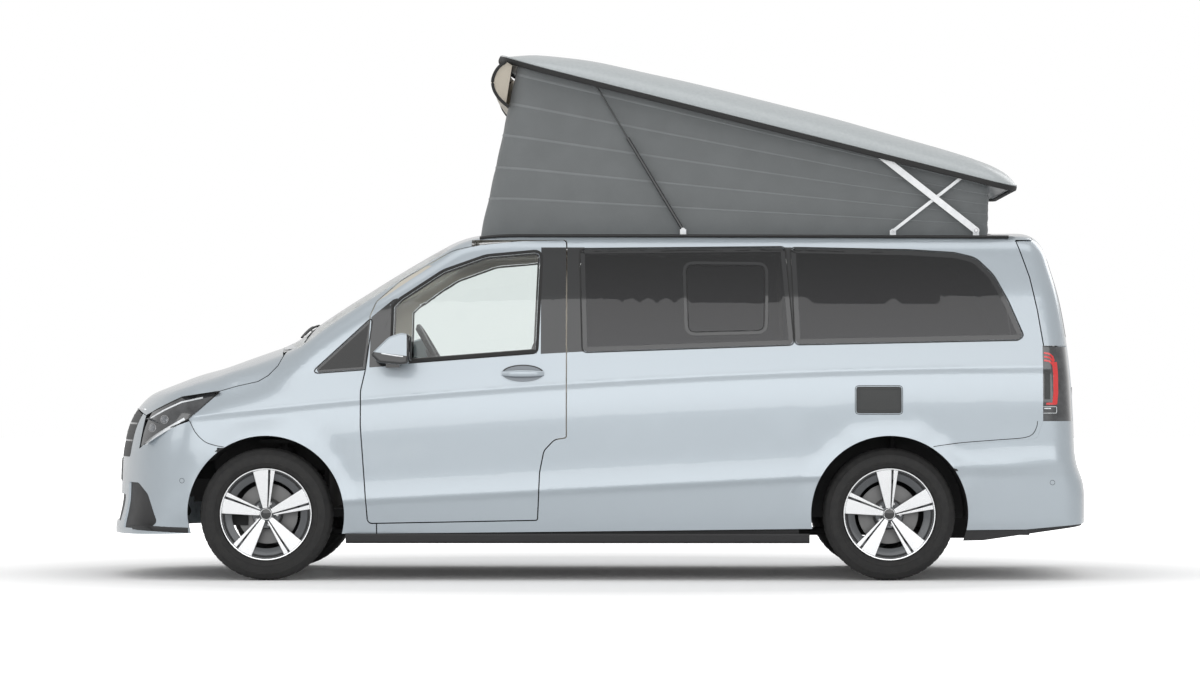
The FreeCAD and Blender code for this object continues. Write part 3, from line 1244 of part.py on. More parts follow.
def pop_surface(inset):
    """Left half of the raised roof's skin, at a depth below it."""
    rim = pop_half_outline(inset)
    count = len(rim)
    flank = 14 - inset / 2
    grid = []
    for j, edge in enumerate(rim):
        spine = 2450 - 2150 * j / (count - 1)
        arch = POP_RIM_ARCH * (1 - (edge.y / S.pop_half_width) ** 2)
        line = []
        for share in (0, 0.2, 0.4, 0.58, 0.72, 0.83, 0.91, 0.96, 0.985, 1.0):
            u = spine + (edge.x - spine) * share
            dome = (1 - share ** 5) ** 0.6
            base = arch + flank
            rise = max(S.pop_crown * pop_height(u) - inset, base + 1)
            line.append(pop_point(u, edge.y * share, base + (rise - base) * dome))
        line += [pop_point(edge.x, edge.y, arch + flank * step) for step in (0.7, 0.35, 0)]
        grid.append(line)
    return through(grid)


def arm_recess():
    """Room in the raised roof's underside for a lifting arm that lies flat in it."""
    reach = ARM_WIDTH / 2 + 5
    y0, y1 = -ARM_Y - 9, -ARM_Y + 17
    u, w = POP_PIVOT
    end_u, end_w = u + ARM_CLOSED[0], w + ARM_CLOSED[1]
    outline = [pop_point(u, 0, w + reach), pop_point(end_u, 0, end_w + reach), pop_point(end_u + reach, 0, end_w),
               pop_point(end_u + reach, 0, -60), pop_point(u - reach, 0, -60), pop_point(u - reach, 0, w)]
    room = prism([(at.x, at.z) for at in outline], "XZ", y0, y1)
    for at in (pop_point(u, 0, w), pop_point(end_u, 0, end_w)):
        room = room.fuse(Part.makeCylinder(reach, y1 - y0, Vector(at.x, y0, at.z), Vector(0, 1, 0)))
    return room


def make_pop_roof():
    half = closed_between(pop_surface(0), pop_surface(S.pop_wall)).cut(arm_recess())
    return half.fuse(mirrored(half)).removeSplitter()


def make_canvas():
    """Bellows between the fixed roof and the raised one, a closed tube of cloth."""
    x0, x1 = FRONT_AXLE + 1088, REAR_AXLE + 534
    thick = 4

    def wedge(inset):
        top_front = pop_point(60 + inset, 0, -6)
        top_rear = pop_point(2600 - inset, 0, -6)
        corners = [(x0 + inset, 1700), (x1 - inset, 1700), (x1 - inset, top_rear.z),
                   (top_front.x, top_front.z), (x0 + inset, S.roof_height - 20)]
        half = S.canvas_half_width - inset
        return prism(corners, "XZ", -half, half)

    roof = slab(section_ray, corner_steps(ROOF_FRONT - 60, FAN_END + 150),
                list(range(CORNER_ROW - 9, 2 * MID_ROW - CORNER_ROW + 10)), -SEAT, 200)
    tube = wedge(0).cut(wedge(thick))
    return tube.cut(roof).cut(box(-3000, 3000, -WIDE, WIDE, 0, CANT))


def bar_between(start, end, y, width, thick, bore):
    """Flat bar with round ends and pin bosses, in the plane of the van's side."""
    dx, dz = end.x - start.x, end.z - start.z
    length = math.hypot(dx, dz)
    left = Part.makeBox(length, thick, width, Vector(0, y - thick / 2, -width / 2))
    for at in (0, length):
        left = left.fuse(Part.makeCylinder(width / 2, thick, Vector(at, y - thick / 2, 0), Vector(0, 1, 0)))
    for at in (0, length):
        left = left.cut(Part.makeCylinder(bore, 4 * thick, Vector(at, y - 2 * thick, 0), Vector(0, 1, 0)))
    left.rotate(Vector(0, 0, 0), Vector(0, 1, 0), -math.degrees(math.atan2(dz, dx)))
    left.translate(Vector(start.x, 0, start.z))
    return Part.makeCompound([left, mirrored(left)])


def pin_pair(at, y0, y1, radius):
    left = Part.makeCylinder(radius, y1 - y0, Vector(at.x, -y1, at.z), Vector(0, 1, 0))
    return left.fuse(mirrored(left))


def roof_bracket(at, ear, pin, radius, roof):
    """Ear on the fixed roof, and the pin on it that a bar turns on."""
    plate = box(at.x - 16, at.x + 16, -ear[1], -ear[0], at.z - 40, at.z + 4)
    plate = plate.fuse(Part.makeCylinder(12, ear[1] - ear[0], Vector(at.x, -ear[1], at.z), Vector(0, 1, 0)))
    plate = plate.cut(roof)
    plate = max(plate.Solids, key=lambda part: part.BoundBox.ZMax)
    if pin is None:
        return plate
    return plate.fuse(Part.makeCylinder(radius, pin[1] - pin[0], Vector(at.x, -pin[1], at.z), Vector(0, 1, 0)))


def make_roof_brackets(roof):
    lift = Vector(LIFT_X, 0, LIFT_Z)
    foot = Vector(LINK_FOOT_X, 0, LINK_FOOT_Z)
    strut = Vector(STRUT_FOOT_X, 0, STRUT_FOOT_Z)
    left = [roof_bracket(lift, (ARM_Y - 11, ARM_Y - 4.5), (ARM_Y - 8, ARM_Y + 7), 6, roof),
            roof_bracket(foot, (LINK_Y - 10, LINK_Y - 3.5), None, 0, roof),
            roof_bracket(strut, (STRUT_Y + 10, STRUT_Y + 16.5), (STRUT_Y - 3, STRUT_Y + 13), 4, roof)]
    return Part.makeCompound(left + [mirrored(part) for part in left])


def make_strut(start, end, radius, length):
    way = (end - start).normalize()
    left = Part.makeCylinder(radius, length, Vector(start.x, -STRUT_Y, start.z), way)
    eye = Part.makeCylinder(9, 9, Vector(start.x, -STRUT_Y - 4.5, start.z), Vector(0, 1, 0))
    bore = Part.makeCylinder(4 + PIN_PLAY, 40, Vector(start.x, -STRUT_Y - 20, start.z), Vector(0, 1, 0))
    left = left.fuse(eye).cut(bore)
    return Part.makeCompound([left, mirrored(left)])


fender = make_fenders()
door_hole = side_prism(DOOR, grow=GAP)
plain_door_hole = side_prism(PLAIN_DOOR, grow=GAP)
keep("bonnet", make_bonnet())
keep("front_fenders", Part.makeCompound([fender, mirrored(fender)]))
keep("windscreen_frame", make_windscreen_frame(door_hole))
keep("windscreen", make_windscreen())
roof = make_roof()
keep("roof_panel", roof)
side = make_side_panel(door_hole)
plain_side = make_side_panel(plain_door_hole)
side_right = mirrored(plain_side)
keep("side_panel_left", side)
slide_outline = [(FRONT_AXLE + 1560, SILL + 34, 30), (REAR_AXLE - 480, SILL + 34, 30), (REAR_AXLE - 480, CANT - 16, 60),
                 (FRONT_AXLE + 1560, CANT - 16, 40)]
slide_hole = mirrored(side_prism(slide_outline, grow=GAP / 2))
keep("sliding_door", side_right.common(mirrored(side_prism(slide_outline, grow=-GAP / 2))))
side_right = side_right.cut(slide_hole)
keep("side_panel_right", side_right)
keep("side_windows", make_side_windows(door_hole))
door_left = make_door(HINGE, DOOR)
keep("door_left", door_left)
keep("door_right", mirrored(make_door(HINGE, PLAIN_DOOR)))
door_glass = make_door_window()
keep("door_window_left", door_glass)
keep("door_window_right", mirrored(door_glass))
mirror_piece = make_mirror().cut(door_left).cut(door_glass)
keep("mirror_left", mirror_piece)
keep("mirror_right", mirrored(mirror_piece))
nose = make_nose()
lamp_hole = side_prism(HEADLAMP, 12)
grille_hole = prism([(-GRILLE_HALF, GRILLE_LOW), (GRILLE_HALF, GRILLE_LOW), (GRILLE_HALF + 20, S.bonnet_lip + 60),
                     (-GRILLE_HALF - 20, S.bonnet_lip + 60)], "YZ", NOSE - 100, NOSE + 500, 20)
front_bumper = make_front_bumper(nose, lamp_hole, grille_hole)
keep("front_bumper", front_bumper)
keep("grille", make_grille(nose))
keep("headlamps", make_headlamps())
keep("tailgate", make_tailgate())
keep("tailgate_window", make_tail_panes())
keep("tail_lamps", make_tail_lamps())
rear_bumper = make_rear_bumper()
keep("rear_bumper", rear_bumper)
keep("rear_valance", make_rear_valance())
keep("sill_trims", make_sill_trims())
intake_grilles = make_intake_grilles()
keep("intake_grilles", intake_grilles)
keep("floor_pan", make_floor([side, mirrored(plain_side), rear_bumper]))
arm_top = pop_point(POP_PIVOT[0], 0, POP_PIVOT[1])
link_top = pop_point(LINK_PIVOT[0], 0, LINK_PIVOT[1])
strut_top = pop_point(STRUT_TOP[0], 0, STRUT_TOP[1])
lug = prism([(link_top.x - 12, link_top.z - 9, 7), (link_top.x + 12, link_top.z - 9, 7),
             (link_top.x + 34, link_top.z + 58), (link_top.x - 2, link_top.z + 66)], "XZ", -LINK_Y + 9, -LINK_Y + 17)
pins = [pin_pair(arm_top, ARM_Y - 4, 690, 6), pin_pair(link_top, LINK_Y - 12, LINK_Y + 3, 4),
        pin_pair(strut_top, STRUT_Y + 5.5, 690, 4), lug, mirrored(lug)]
keep("roof_shell", make_pop_roof().fuse(pins))
keep("canvas", make_canvas())
keep("roof_arms", bar_between(Vector(LIFT_X, 0, LIFT_Z), arm_top, -ARM_Y, ARM_WIDTH, 8, 6 + PIN_PLAY))
keep("roof_links", bar_between(Vector(LINK_FOOT_X, 0, LINK_FOOT_Z), link_top, -LINK_Y, 16, 6, 4 + PIN_PLAY))
keep("roof_brackets", make_roof_brackets(roof))
strut_foot = Vector(STRUT_FOOT_X, 0, STRUT_FOOT_Z)
strut_way = (strut_top - strut_foot).normalize()
bore = make_strut(strut_foot + strut_way * 20, strut_top, 4 + PIN_PLAY, 600)
keep("strut_tubes", make_strut(strut_foot, strut_top, 9, 560).cut(bore))
keep("strut_rods", make_strut(strut_top, strut_foot, 4, 360))
make_wheels()
make_brakes()
make_knuckle("left", -1)
make_knuckle("right", 1)
make_front_suspension()
make_rear_suspension()
make_running_gear()
make_front_frame([fender, mirrored(fender), front_bumper, intake_grilles])
make_dashboard()
make_seats()
make_kitchen()

doc.recompute()
os.makedirs("parts", exist_ok=True)
for item in doc.Objects:
    if "Invalid" in item.State or "Error" in item.State:
        raise RuntimeError("%s did not build" % item.Label)
for piece in PIECES:
    if piece.Shape.isNull() or not piece.Shape.isValid():
        raise RuntimeError("%s has no sound shape" % piece.Label)
for piece in PIECES:
    shape = piece.Shape
    print(piece.Label, piece.State, round(shape.Volume / 1e6, 2), len(shape.Solids), shape.BoundBox)
    shape.exportStep("parts/%s.step" % piece.Label)
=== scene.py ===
import math

import bmesh
import bpy
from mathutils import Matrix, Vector
from mathutils.bvhtree import BVHTree

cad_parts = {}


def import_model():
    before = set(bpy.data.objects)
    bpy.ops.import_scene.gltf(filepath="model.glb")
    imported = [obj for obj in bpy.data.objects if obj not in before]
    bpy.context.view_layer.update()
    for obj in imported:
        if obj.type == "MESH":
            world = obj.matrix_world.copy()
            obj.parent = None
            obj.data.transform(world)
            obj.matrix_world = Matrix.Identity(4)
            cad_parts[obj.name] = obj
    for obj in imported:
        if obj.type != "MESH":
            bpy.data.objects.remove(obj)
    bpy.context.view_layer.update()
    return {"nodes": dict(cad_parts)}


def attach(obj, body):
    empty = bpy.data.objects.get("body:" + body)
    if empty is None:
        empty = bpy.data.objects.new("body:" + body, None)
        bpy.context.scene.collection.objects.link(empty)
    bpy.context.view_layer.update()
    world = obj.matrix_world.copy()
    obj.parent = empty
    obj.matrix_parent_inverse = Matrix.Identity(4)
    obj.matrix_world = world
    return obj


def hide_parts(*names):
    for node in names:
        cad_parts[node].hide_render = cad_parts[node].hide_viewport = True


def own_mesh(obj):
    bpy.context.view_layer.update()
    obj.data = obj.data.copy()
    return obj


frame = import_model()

# Metres; the nose looks to -X, the van's left side to -Y, and the ground is at Z 0.
NODES = frame["nodes"]
SIDES = (("left", -1), ("right", 1))
AXLE_Z = .34
AXLES = (("front", -1.69, 1.666), ("rear", 1.51, 1.646))
TURN = 2 * math.pi

# Camera, light and floor.
PICTURE_WIDTH, SENSOR_WIDTH = 1200, 36
FOCAL_PIXELS = 4140
EYE = Vector((.205, -22.17, .98))
GAZE = Vector((-35, FOCAL_PIXELS, 52))
STUDIO_FILL = .74
WHITE = (1, 1, 1, 1)
LAMPS = (("top_light", (.3, -1.5, 7.5), (.2, 0, .7), 110, 9, 4.0),
         ("side_light", (.4, -10.5, 3.3), (.2, 0, 1.1), 300, 13, 4.6),
         ("front_light", (-8, -5, 3.5), (0, 0, 1.0), 50, 3, 3),
         ("rear_light", (6.5, 6, 5), (0, 0, 1.0), 110, 5, 5),
         ("cab_lamp", (-.42, 0, 1.64), (-.42, 0, .4), 12, .7, 1.0),
         ("saloon_lamp", (.95, 0, 1.66), (.95, 0, .4), 7, 1.6, .9))
FLOOR_REACH = 60
FLOOR_TONE = (.93, .93, .93, 1)
# The floor's own glow starts at an ellipse round the van and is full further out.
GLOW_STRETCH = (.22, .3, 1)
GLOW_RANGE = (("From Min", .62), ("From Max", 1.5), ("To Min", .02), ("To Max", .85))


def add_object(name, data):
    made = bpy.data.objects.new(name, data)
    bpy.context.scene.collection.objects.link(made)
    return made


def make_camera():
    data = bpy.data.cameras.new("camera")
    data.sensor_width = SENSOR_WIDTH
    data.lens = FOCAL_PIXELS / PICTURE_WIDTH * SENSOR_WIDTH
    data.clip_end = 200
    camera = add_object("camera", data)
    camera.location = EYE
    camera.rotation_euler = GAZE.to_track_quat("-Z", "Y").to_euler()
    bpy.context.scene.camera = camera


def area_light(name, place, aim, power, size_x, size_y):
    data = bpy.data.lights.new(name, "AREA")
    data.shape = "RECTANGLE"
    data.energy, data.size, data.size_y = power, size_x, size_y
    lamp = add_object(name, data)
    lamp.location = place
    lamp.rotation_euler = (Vector(aim) - Vector(place)).to_track_quat("-Z", "Y").to_euler()
    lamp.visible_camera = lamp.visible_transmission = False


def make_world():
    """White to the camera and through glass, and a dimmer studio to all other rays."""
    world = bpy.data.worlds.new("studio")
    bpy.context.scene.world = world
    world.use_nodes = True
    nodes, links = world.node_tree.nodes, world.node_tree.links
    nodes.clear()
    path, seen = nodes.new("ShaderNodeLightPath"), nodes.new("ShaderNodeMath")
    seen.operation = "MAXIMUM"
    links.new(path.outputs["Is Camera Ray"], seen.inputs[0])
    links.new(path.outputs["Is Transmission Ray"], seen.inputs[1])
    mix, out = nodes.new("ShaderNodeMixShader"), nodes.new("ShaderNodeOutputWorld")
    links.new(seen.outputs[0], mix.inputs[0])
    for socket, strength in ((1, STUDIO_FILL), (2, 1.0)):
        light = nodes.new("ShaderNodeBackground")
        light.inputs[0].default_value = WHITE
        light.inputs[1].default_value = strength
        links.new(light.outputs[0], mix.inputs[socket])
    links.new(mix.outputs[0], out.inputs[0])
    for lamp in LAMPS:
        area_light(*lamp)
    bpy.context.scene.view_settings.view_transform = "Standard"


def make_floor():
    mesh = bpy.data.meshes.new("floor")
    corners = [(x * FLOOR_REACH, y * FLOOR_REACH, 0) for x, y in ((-1, -1), (1, -1), (1, 1), (-1, 1))]
    mesh.from_pydata(corners, [], [(0, 1, 2, 3)])
    material = bpy.data.materials.new("floor")
    material.use_nodes = True
    nodes, links = material.node_tree.nodes, material.node_tree.links
    shader = nodes["Principled BSDF"]
    shader.inputs["Base Color"].default_value = FLOOR_TONE
    shader.inputs["Roughness"].default_value = .9
    place, stretch, far, spread, path, glow, light, add = [nodes.new("ShaderNode" + kind) for kind in (
        "TexCoord", "Mapping", "VectorMath", "MapRange", "LightPath", "Math", "Emission", "AddShader")]
    light.inputs[0].default_value = WHITE
    stretch.inputs["Scale"].default_value = GLOW_STRETCH
    far.operation, glow.operation = "LENGTH", "MULTIPLY"
    for socket, value in GLOW_RANGE:
        spread.inputs[socket].default_value = value
    for start, end in ((place.outputs["Object"], stretch.inputs["Vector"]), (stretch.outputs[0], far.inputs[0]),
                       (far.outputs["Value"], spread.inputs["Value"]), (spread.outputs[0], glow.inputs[1]),
                       (path.outputs["Is Camera Ray"], glow.inputs[0]), (glow.outputs[0], light.inputs[1]),
                       (shader.outputs[0], add.inputs[0]), (light.outputs[0], add.inputs[1]),
                       (add.outputs[0], nodes["Material Output"].inputs[0])):
        links.new(start, end)
    mesh.materials.append(material)
    add_object("floor", mesh)


# Materials.

class Look:
    """A principled material with small helpers for its pattern nodes."""

    def __init__(self, name, color, rough=.5, metal=0.0, **sockets):
        self.material = bpy.data.materials.new(name)
        self.material.use_nodes = True
        self.tree = self.material.node_tree
        self.shader = self.tree.nodes["Principled BSDF"]
        self.shader.inputs["Base Color"].default_value = tuple(color) + (1.0,)
        for socket, value in dict(sockets, Roughness=rough, Metallic=metal).items():
            self.shader.inputs[socket.replace("_", " ")].default_value = value
        self.place = self.node("TexCoord")

    def node(self, kind, **inputs):
        made = self.tree.nodes.new("ShaderNode" + kind)
        for name, value in inputs.items():
            made.inputs[name.replace("_", " ")].default_value = value
        return made

    def link(self, a, b):
        self.tree.links.new(a, b)

    def coords(self, stretch=(1, 1, 1)):
        mapping = self.node("Mapping", Scale=stretch)
        self.link(self.place.outputs["Object"], mapping.inputs["Vector"])
        return mapping.outputs[0]

    def noise(self, scale, detail=3, stretch=(1, 1, 1)):
        made = self.node("TexNoise", Scale=scale, Detail=detail)
        self.link(self.coords(stretch), made.inputs["Vector"])
        return made.outputs["Fac"]

    def waves(self, scale, direction="X"):
        made = self.node("TexWave", Scale=scale)
        made.bands_direction = direction
        self.link(self.coords(), made.inputs["Vector"])
        return made.outputs["Fac"]

    def math(self, operation, a, b=0.0, c=None):
        made = self.node("Math")
        made.operation = operation
        for socket, value in zip(made.inputs, (a, b) if c is None else (a, b, c)):
            if isinstance(value, (int, float)):
                socket.default_value = value
            else:
                self.link(value, socket)
        return made.outputs[0]

    def both(self, a, b):
        return self.math("MULTIPLY", a, b)

    def ramp(self, fac, low, high, start=.3, end=.7):
        made = self.node("ValToRGB")
        for stop, place, color in zip(made.color_ramp.elements, (start, end), (low, high)):
            stop.position = place
            stop.color = tuple(color) + (1,)
        self.link(fac, made.inputs["Fac"])
        return made.outputs["Color"]

    def range(self, fac, low, high):
        made = self.node("MapRange", To_Min=low, To_Max=high)
        self.link(fac, made.inputs["Value"])
        return made.outputs[0]

    def bump(self, height, strength=.2, distance=.001):
        made = self.node("Bump", Strength=strength, Distance=distance)
        self.link(height, made.inputs["Height"])
        if self.shader.inputs["Normal"].is_linked:
            self.link(self.shader.inputs["Normal"].links[0].from_socket, made.inputs["Normal"])
        self.link(made.outputs[0], self.shader.inputs["Normal"])
        return self

    def tone(self, color):
        self.link(color, self.shader.inputs["Base Color"])
        return self

    def rough(self, value):
        self.link(value, self.shader.inputs["Roughness"])
        return self

    def mixed(self, fac, a, b):
        """Colour a where fac is 0 and b where it is 1; each is a colour or a socket."""
        made = self.node("Mix")
        made.data_type = "RGBA"
        self.link(fac, made.inputs[0])
        for socket, value in ((made.inputs[6], a), (made.inputs[7], b)):
            if isinstance(value, tuple):
                socket.default_value = tuple(value) + (1,)
            else:
                self.link(value, socket)
        return made.outputs[2]

    def axis(self, name, output="Object"):
        split = self.node("SeparateXYZ")
        self.link(self.place.outputs[output], split.inputs[0])
        return split.outputs[name]

    def between(self, value, low, high):
        return self.both(self.math("GREATER_THAN", value, low), self.math("LESS_THAN", value, high))


PAINT = (.4, .45, .49)
MASK_BLACK = (.014, .015, .016)
LINING_TONE = (.5, .46, .39)
BELT_SLOPE, BELT_HEIGHT = .056, 1.178
MASK_TOP = 1.714
# Half width of the body's skin at some heights, and how much it narrows towards the ends.
SIDE_WIDTH = ((.2, .905), (.295, .93), (.45, .951), (.5, .961), (.7, .957), (.83, .962),
              (.985, .951), (1.03, .952), (1.17, .926), (1.46, .876), (1.71, .806), (1.85, .76))
BARREL, BARREL_MIDDLE, SKIN_DEPTH = .006, .3, .03


def inner_side(look):
    """1 on the faces that lie well inside the side's skin, below the roof's corner."""
    x, z = look.axis("X"), look.axis("Z")
    low, high = SIDE_WIDTH[0][0], SIDE_WIDTH[-1][0]
    ramp = look.node("ValToRGB")
    for height, width in SIDE_WIDTH[1:-1]:
        ramp.color_ramp.elements.new((height - low) / (high - low)).color = (width,) * 3 + (1,)
    for k in (0, -1):
        ramp.color_ramp.elements[k].color = (SIDE_WIDTH[k][1],) * 3 + (1,)
    look.link(look.math("DIVIDE", look.math("SUBTRACT", z, low), high - low), ramp.inputs["Fac"])
    off = look.math("SUBTRACT", x, BARREL_MIDDLE)
    barrel = look.both(look.both(off, off), BARREL)
    edge = look.math("SUBTRACT", look.math("SUBTRACT", ramp.outputs["Color"], barrel), SKIN_DEPTH)
    inside = look.math("LESS_THAN", look.math("ABSOLUTE", look.axis("Y")), edge)
    return look.both(inside, look.both(look.between(x, -1.3, 2.0), look.math("LESS_THAN", z, 1.62)))


def inward_faces(look):
    """1 on the faces over the belt that look towards the van's middle, or down from the roof."""
    x, y, z = look.axis("X"), look.axis("Y"), look.axis("Z")
    inward = look.math("LESS_THAN", look.both(look.axis("Y", "Normal"), y), -.25)
    under = look.both(look.math("LESS_THAN", look.axis("Z", "Normal"), -.35),
                      look.math("LESS_THAN", look.math("ABSOLUTE", y), .8))
    over_belt = look.both(look.math("GREATER_THAN", z, 1.0), look.between(x, -1.5, 2.0))
    return look.both(look.math("MAXIMUM", inward, under), over_belt)


def window_height(look):
    """1 between the sloping belt line and the roof rail."""
    z = look.axis("Z")
    belt = look.math("MULTIPLY_ADD", look.axis("X"), BELT_SLOPE, BELT_HEIGHT)
    return look.both(look.math("GREATER_THAN", z, belt), look.math("LESS_THAN", z, MASK_TOP))


def door_post(look):
    return look.both(look.between(look.axis("X"), -.279, -.05), window_height(look))


def window_bars(look):
    """Black post behind the front door, and the slanted black bar between the side windows."""
    x, z = look.axis("X"), look.axis("Z")
    lean = look.math("ADD", x, look.both(look.math("SUBTRACT", z, 1.211), .062))
    bars = look.math("MAXIMUM", look.between(x, -.16, -.055), look.between(lean, 1.004, 1.044))
    return look.both(bars, window_height(look))


def mirror_mask(look):
    """Black lower part of a mirror, under a line that rises to the front, and its rear edge."""
    x = look.axis("X")
    low = look.math("LESS_THAN", look.axis("Z"), look.math("MULTIPLY_ADD", x, -.12, 1.036))
    return look.math("MAXIMUM", low, look.math("GREATER_THAN", x, -.957))


def paint_look(name, mask=None, lined=False):
    """Metallic paint with fine flakes; mask is a function that gives the black area's socket."""
    look = Look(name, PAINT, .34, .55, Coat_Weight=1.0, Coat_Roughness=.03, Coat_IOR=1.5)
    flakes = look.noise(2600, 2)
    shade = look.mixed(look.range(flakes, 0.0, 1.0), (.36, .41, .45), (.44, .49, .53))
    tint = look.mixed(look.range(look.noise(1.3, 2), 0.0, .25), shade, (.42, .47, .51))
    if mask:
        tint = look.mixed(mask(look), tint, MASK_BLACK)
    if lined:
        inner = look.math("MAXIMUM", inner_side(look), inward_faces(look)) if mask else inward_faces(look)
        tint = look.mixed(inner, tint, LINING_TONE)
        look.link(look.math("SUBTRACT", .55, look.both(inner, .55)), look.shader.inputs["Metallic"])
    look.tone(tint).rough(look.range(flakes, .3, .42)).bump(look.noise(420, 2), .03, .0004)
    return look.material


def scaled(color, share):
    return tuple(min(1, c * share) for c in color)


def toned(name, color, low, high, pattern, rough, metal=0.0, **sockets):
    """Look between two tones over a noise (scale, detail)."""
    look = Look(name, color, rough, metal, **sockets)
    return look.tone(look.ramp(look.noise(*pattern), low, high))


def plastic(name, color, rough=.55, grain=900, strength=.25):
    look = Look(name, color, rough)
    grains = look.noise(grain, 4)
    look.tone(look.ramp(grains, scaled(color, .8), scaled(color, 1.25))).bump(grains, strength, .0004)
    look.rough(look.range(look.noise(14, 3), rough - .06, min(1.0, rough + .08)))
    return look.material


def metal(name, color, rough=.3, lines=(1, 1, 1)):
    look = Look(name, color, rough, 1.0)
    streaks = look.noise(260, 3, lines)
    look.tone(look.ramp(streaks, scaled(color, .9), scaled(color, 1.08)))
    look.rough(look.range(streaks, rough - .06, rough + .08)).bump(streaks, .05, .0004)
    return look.material


def glass(name, color, rough=0.0, weight=1.0):
    look = Look(name, color, rough, 0.0, Transmission_Weight=weight, IOR=1.45)
    return look.bump(look.noise(3, 1), .015, .002)


def cloth(name, color, scale, strength=.5, blotch=.12):
    look = Look(name, color, .92, 0.0, Sheen_Weight=.25, Sheen_Roughness=.5)
    weave = look.both(look.waves(scale, "X"), look.waves(scale, "Z"))
    mottled = look.math("ADD", look.both(weave, .5), look.both(look.noise(9, 4), .6))
    look.tone(look.ramp(mottled, scaled(color, 1 - blotch), scaled(color, 1 + blotch), .25, .8))
    return look.bump(weave, strength, .0006).bump(look.noise(24, 3), .15, .002).material


def tyre_look():
    look = Look("tyre_rubber", (.022, .022, .023), .75)
    dust = look.noise(30, 5)
    look.tone(look.ramp(dust, (.009, .009, .0095), (.02, .0195, .019)))
    return look.rough(look.range(dust, .66, .85)).bump(look.noise(500, 3), .15, .0005).material


def privacy_look():
    """Dark glass, lighter towards the belt and darker towards the top as painted shade; the small corner panes ahead
    of the doors are darkest.
    """
    look = glass("privacy_glass", (.1, .1, .105), .02, .72)
    height = look.range(look.math("SUBTRACT", look.axis("Z"), .9), 0.0, 1.0)
    # Painted shade: the panes darken towards the top and are lighter towards the belt.
    tint = look.ramp(height, (.105, .105, .112), (.03, .031, .032), .24, .8)
    look.tone(look.mixed(look.math("LESS_THAN", look.axis("X"), -1.0), tint, (.016, .017, .018)))
    return look.material


PAINT_PLAIN = paint_look("body_paint")
PAINT_FRAME = paint_look("frame_paint", None, True)
PAINT_DOOR = paint_look("door_paint", door_post, True)
PAINT_SIDE = paint_look("side_paint", window_bars, True)
MIRROR_PAINT = paint_look("mirror_paint", mirror_mask)
shell = toned("shell_paint", (.4, .43, .44), (.38, .41, .42), (.42, .45, .46), (60, 4), .42,
              Coat_Weight=.35, Coat_Roughness=.12)
PAINT_SHELL = shell.rough(shell.range(shell.noise(300, 3), .3, .44)).material
# Darker body paint for the handle bowls: painted shade in the recess.
BOWL_PAINTED_SHADE = toned("bowl_painted_shade", (.2, .225, .245), (.17, .19, .21), (.23, .255, .28), (900, 2),
                     .45, .3, Coat_Weight=.3).material
BLACK = plastic("black_trim", (.018, .018, .019), .5)
gloss = Look("gloss_black", MASK_BLACK, .12, 0.0, Coat_Weight=.6, Coat_Roughness=.02)
GLOSS_BLACK = gloss.rough(gloss.range(gloss.noise(60, 3), .1, .17)).material
RUBBER = plastic("seal_rubber", (.012, .012, .012), .7, 1500, .2)
UNDER = plastic("underbody", (.02, .02, .021), .75, 300, .6)
FLAP_GREY = plastic("flap_plastic", (.032, .034, .034), .5, 800, .15)
CABIN = plastic("cabin_plastic", (.035, .035, .037), .6, 700, .4)
PANEL = plastic("cabinet_panel", (.5, .49, .46), .4, 200, .1)
PLATE = plastic("plate_white", (.72, .73, .72), .35, 60, .03)
CHROME = metal("bright_metal", (.86, .87, .88), .1)
STEEL = metal("brushed_steel", (.5, .5, .51), .32, (1, 1, 12))
MACHINED = metal("machined_alloy", (.8, .81, .82), .24, (6, 1, 6))
DISC = metal("disc_iron", (.2, .2, .2), .42, (1, 1, 14))
MIRROR_GLASS = metal("mirror_glass", (.8, .82, .84), .06)
link = toned("link_paint", (.74, .76, .77), (.69, .71, .72), (.79, .8, .81), (40, 4), .34, .1)
LINK = link.bump(link.noise(500, 2), .05, .0004).material
RIM_DARK = toned("rim_paint", (.075, .08, .085), (.06, .064, .07), (.1, .105, .11), (900, 2), .38, .5,
                 Coat_Weight=.5, Coat_Roughness=.1).material
TYRE = tyre_look()
LAMP_BODY = toned("lamp_body", (.03, .032, .034), (.018, .019, .021), (.06, .063, .067), (18, 4), .16,
                  Coat_Weight=1.0, Coat_Roughness=.02).material
LAMP_WHITE = toned("lamp_light", (.8, .83, .85), (.66, .7, .73), (.88, .9, .92), (120, 2), .12,
                   Coat_Weight=1.0).material
LAMP_SMOKE = toned("lamp_smoke", (.16, .17, .18), (.1, .11, .12), (.26, .27, .29), (90, 2), .1, .6,
                   Coat_Weight=1.0).material
red = Look("lamp_red", (.62, .012, .015), .14, 0.0, Coat_Weight=1.0)
LAMP_RED = red.tone(red.ramp(red.waves(160, "Z"), (.42, .006, .008), (.8, .03, .03))).material
CLEAR_GLASS = glass("clear_glass", (.86, .9, .89)).material
SCREEN_GLASS = glass("screen_glass", (.8, .85, .84)).material
DARK_GLASS = privacy_look()
CANVAS = cloth("bellows_cloth", (.155, .165, .168), 420, .4, .1)
SEAM_CLOTH = cloth("seam_cloth", (.2, .212, .216), 420, .4, .1)
LINING = cloth("beige_lining", (.55, .5, .42), 380, .4)
SEAT = cloth("seat_cloth", (.085, .085, .09), 300, .6)

make_camera()
make_world()
make_floor()

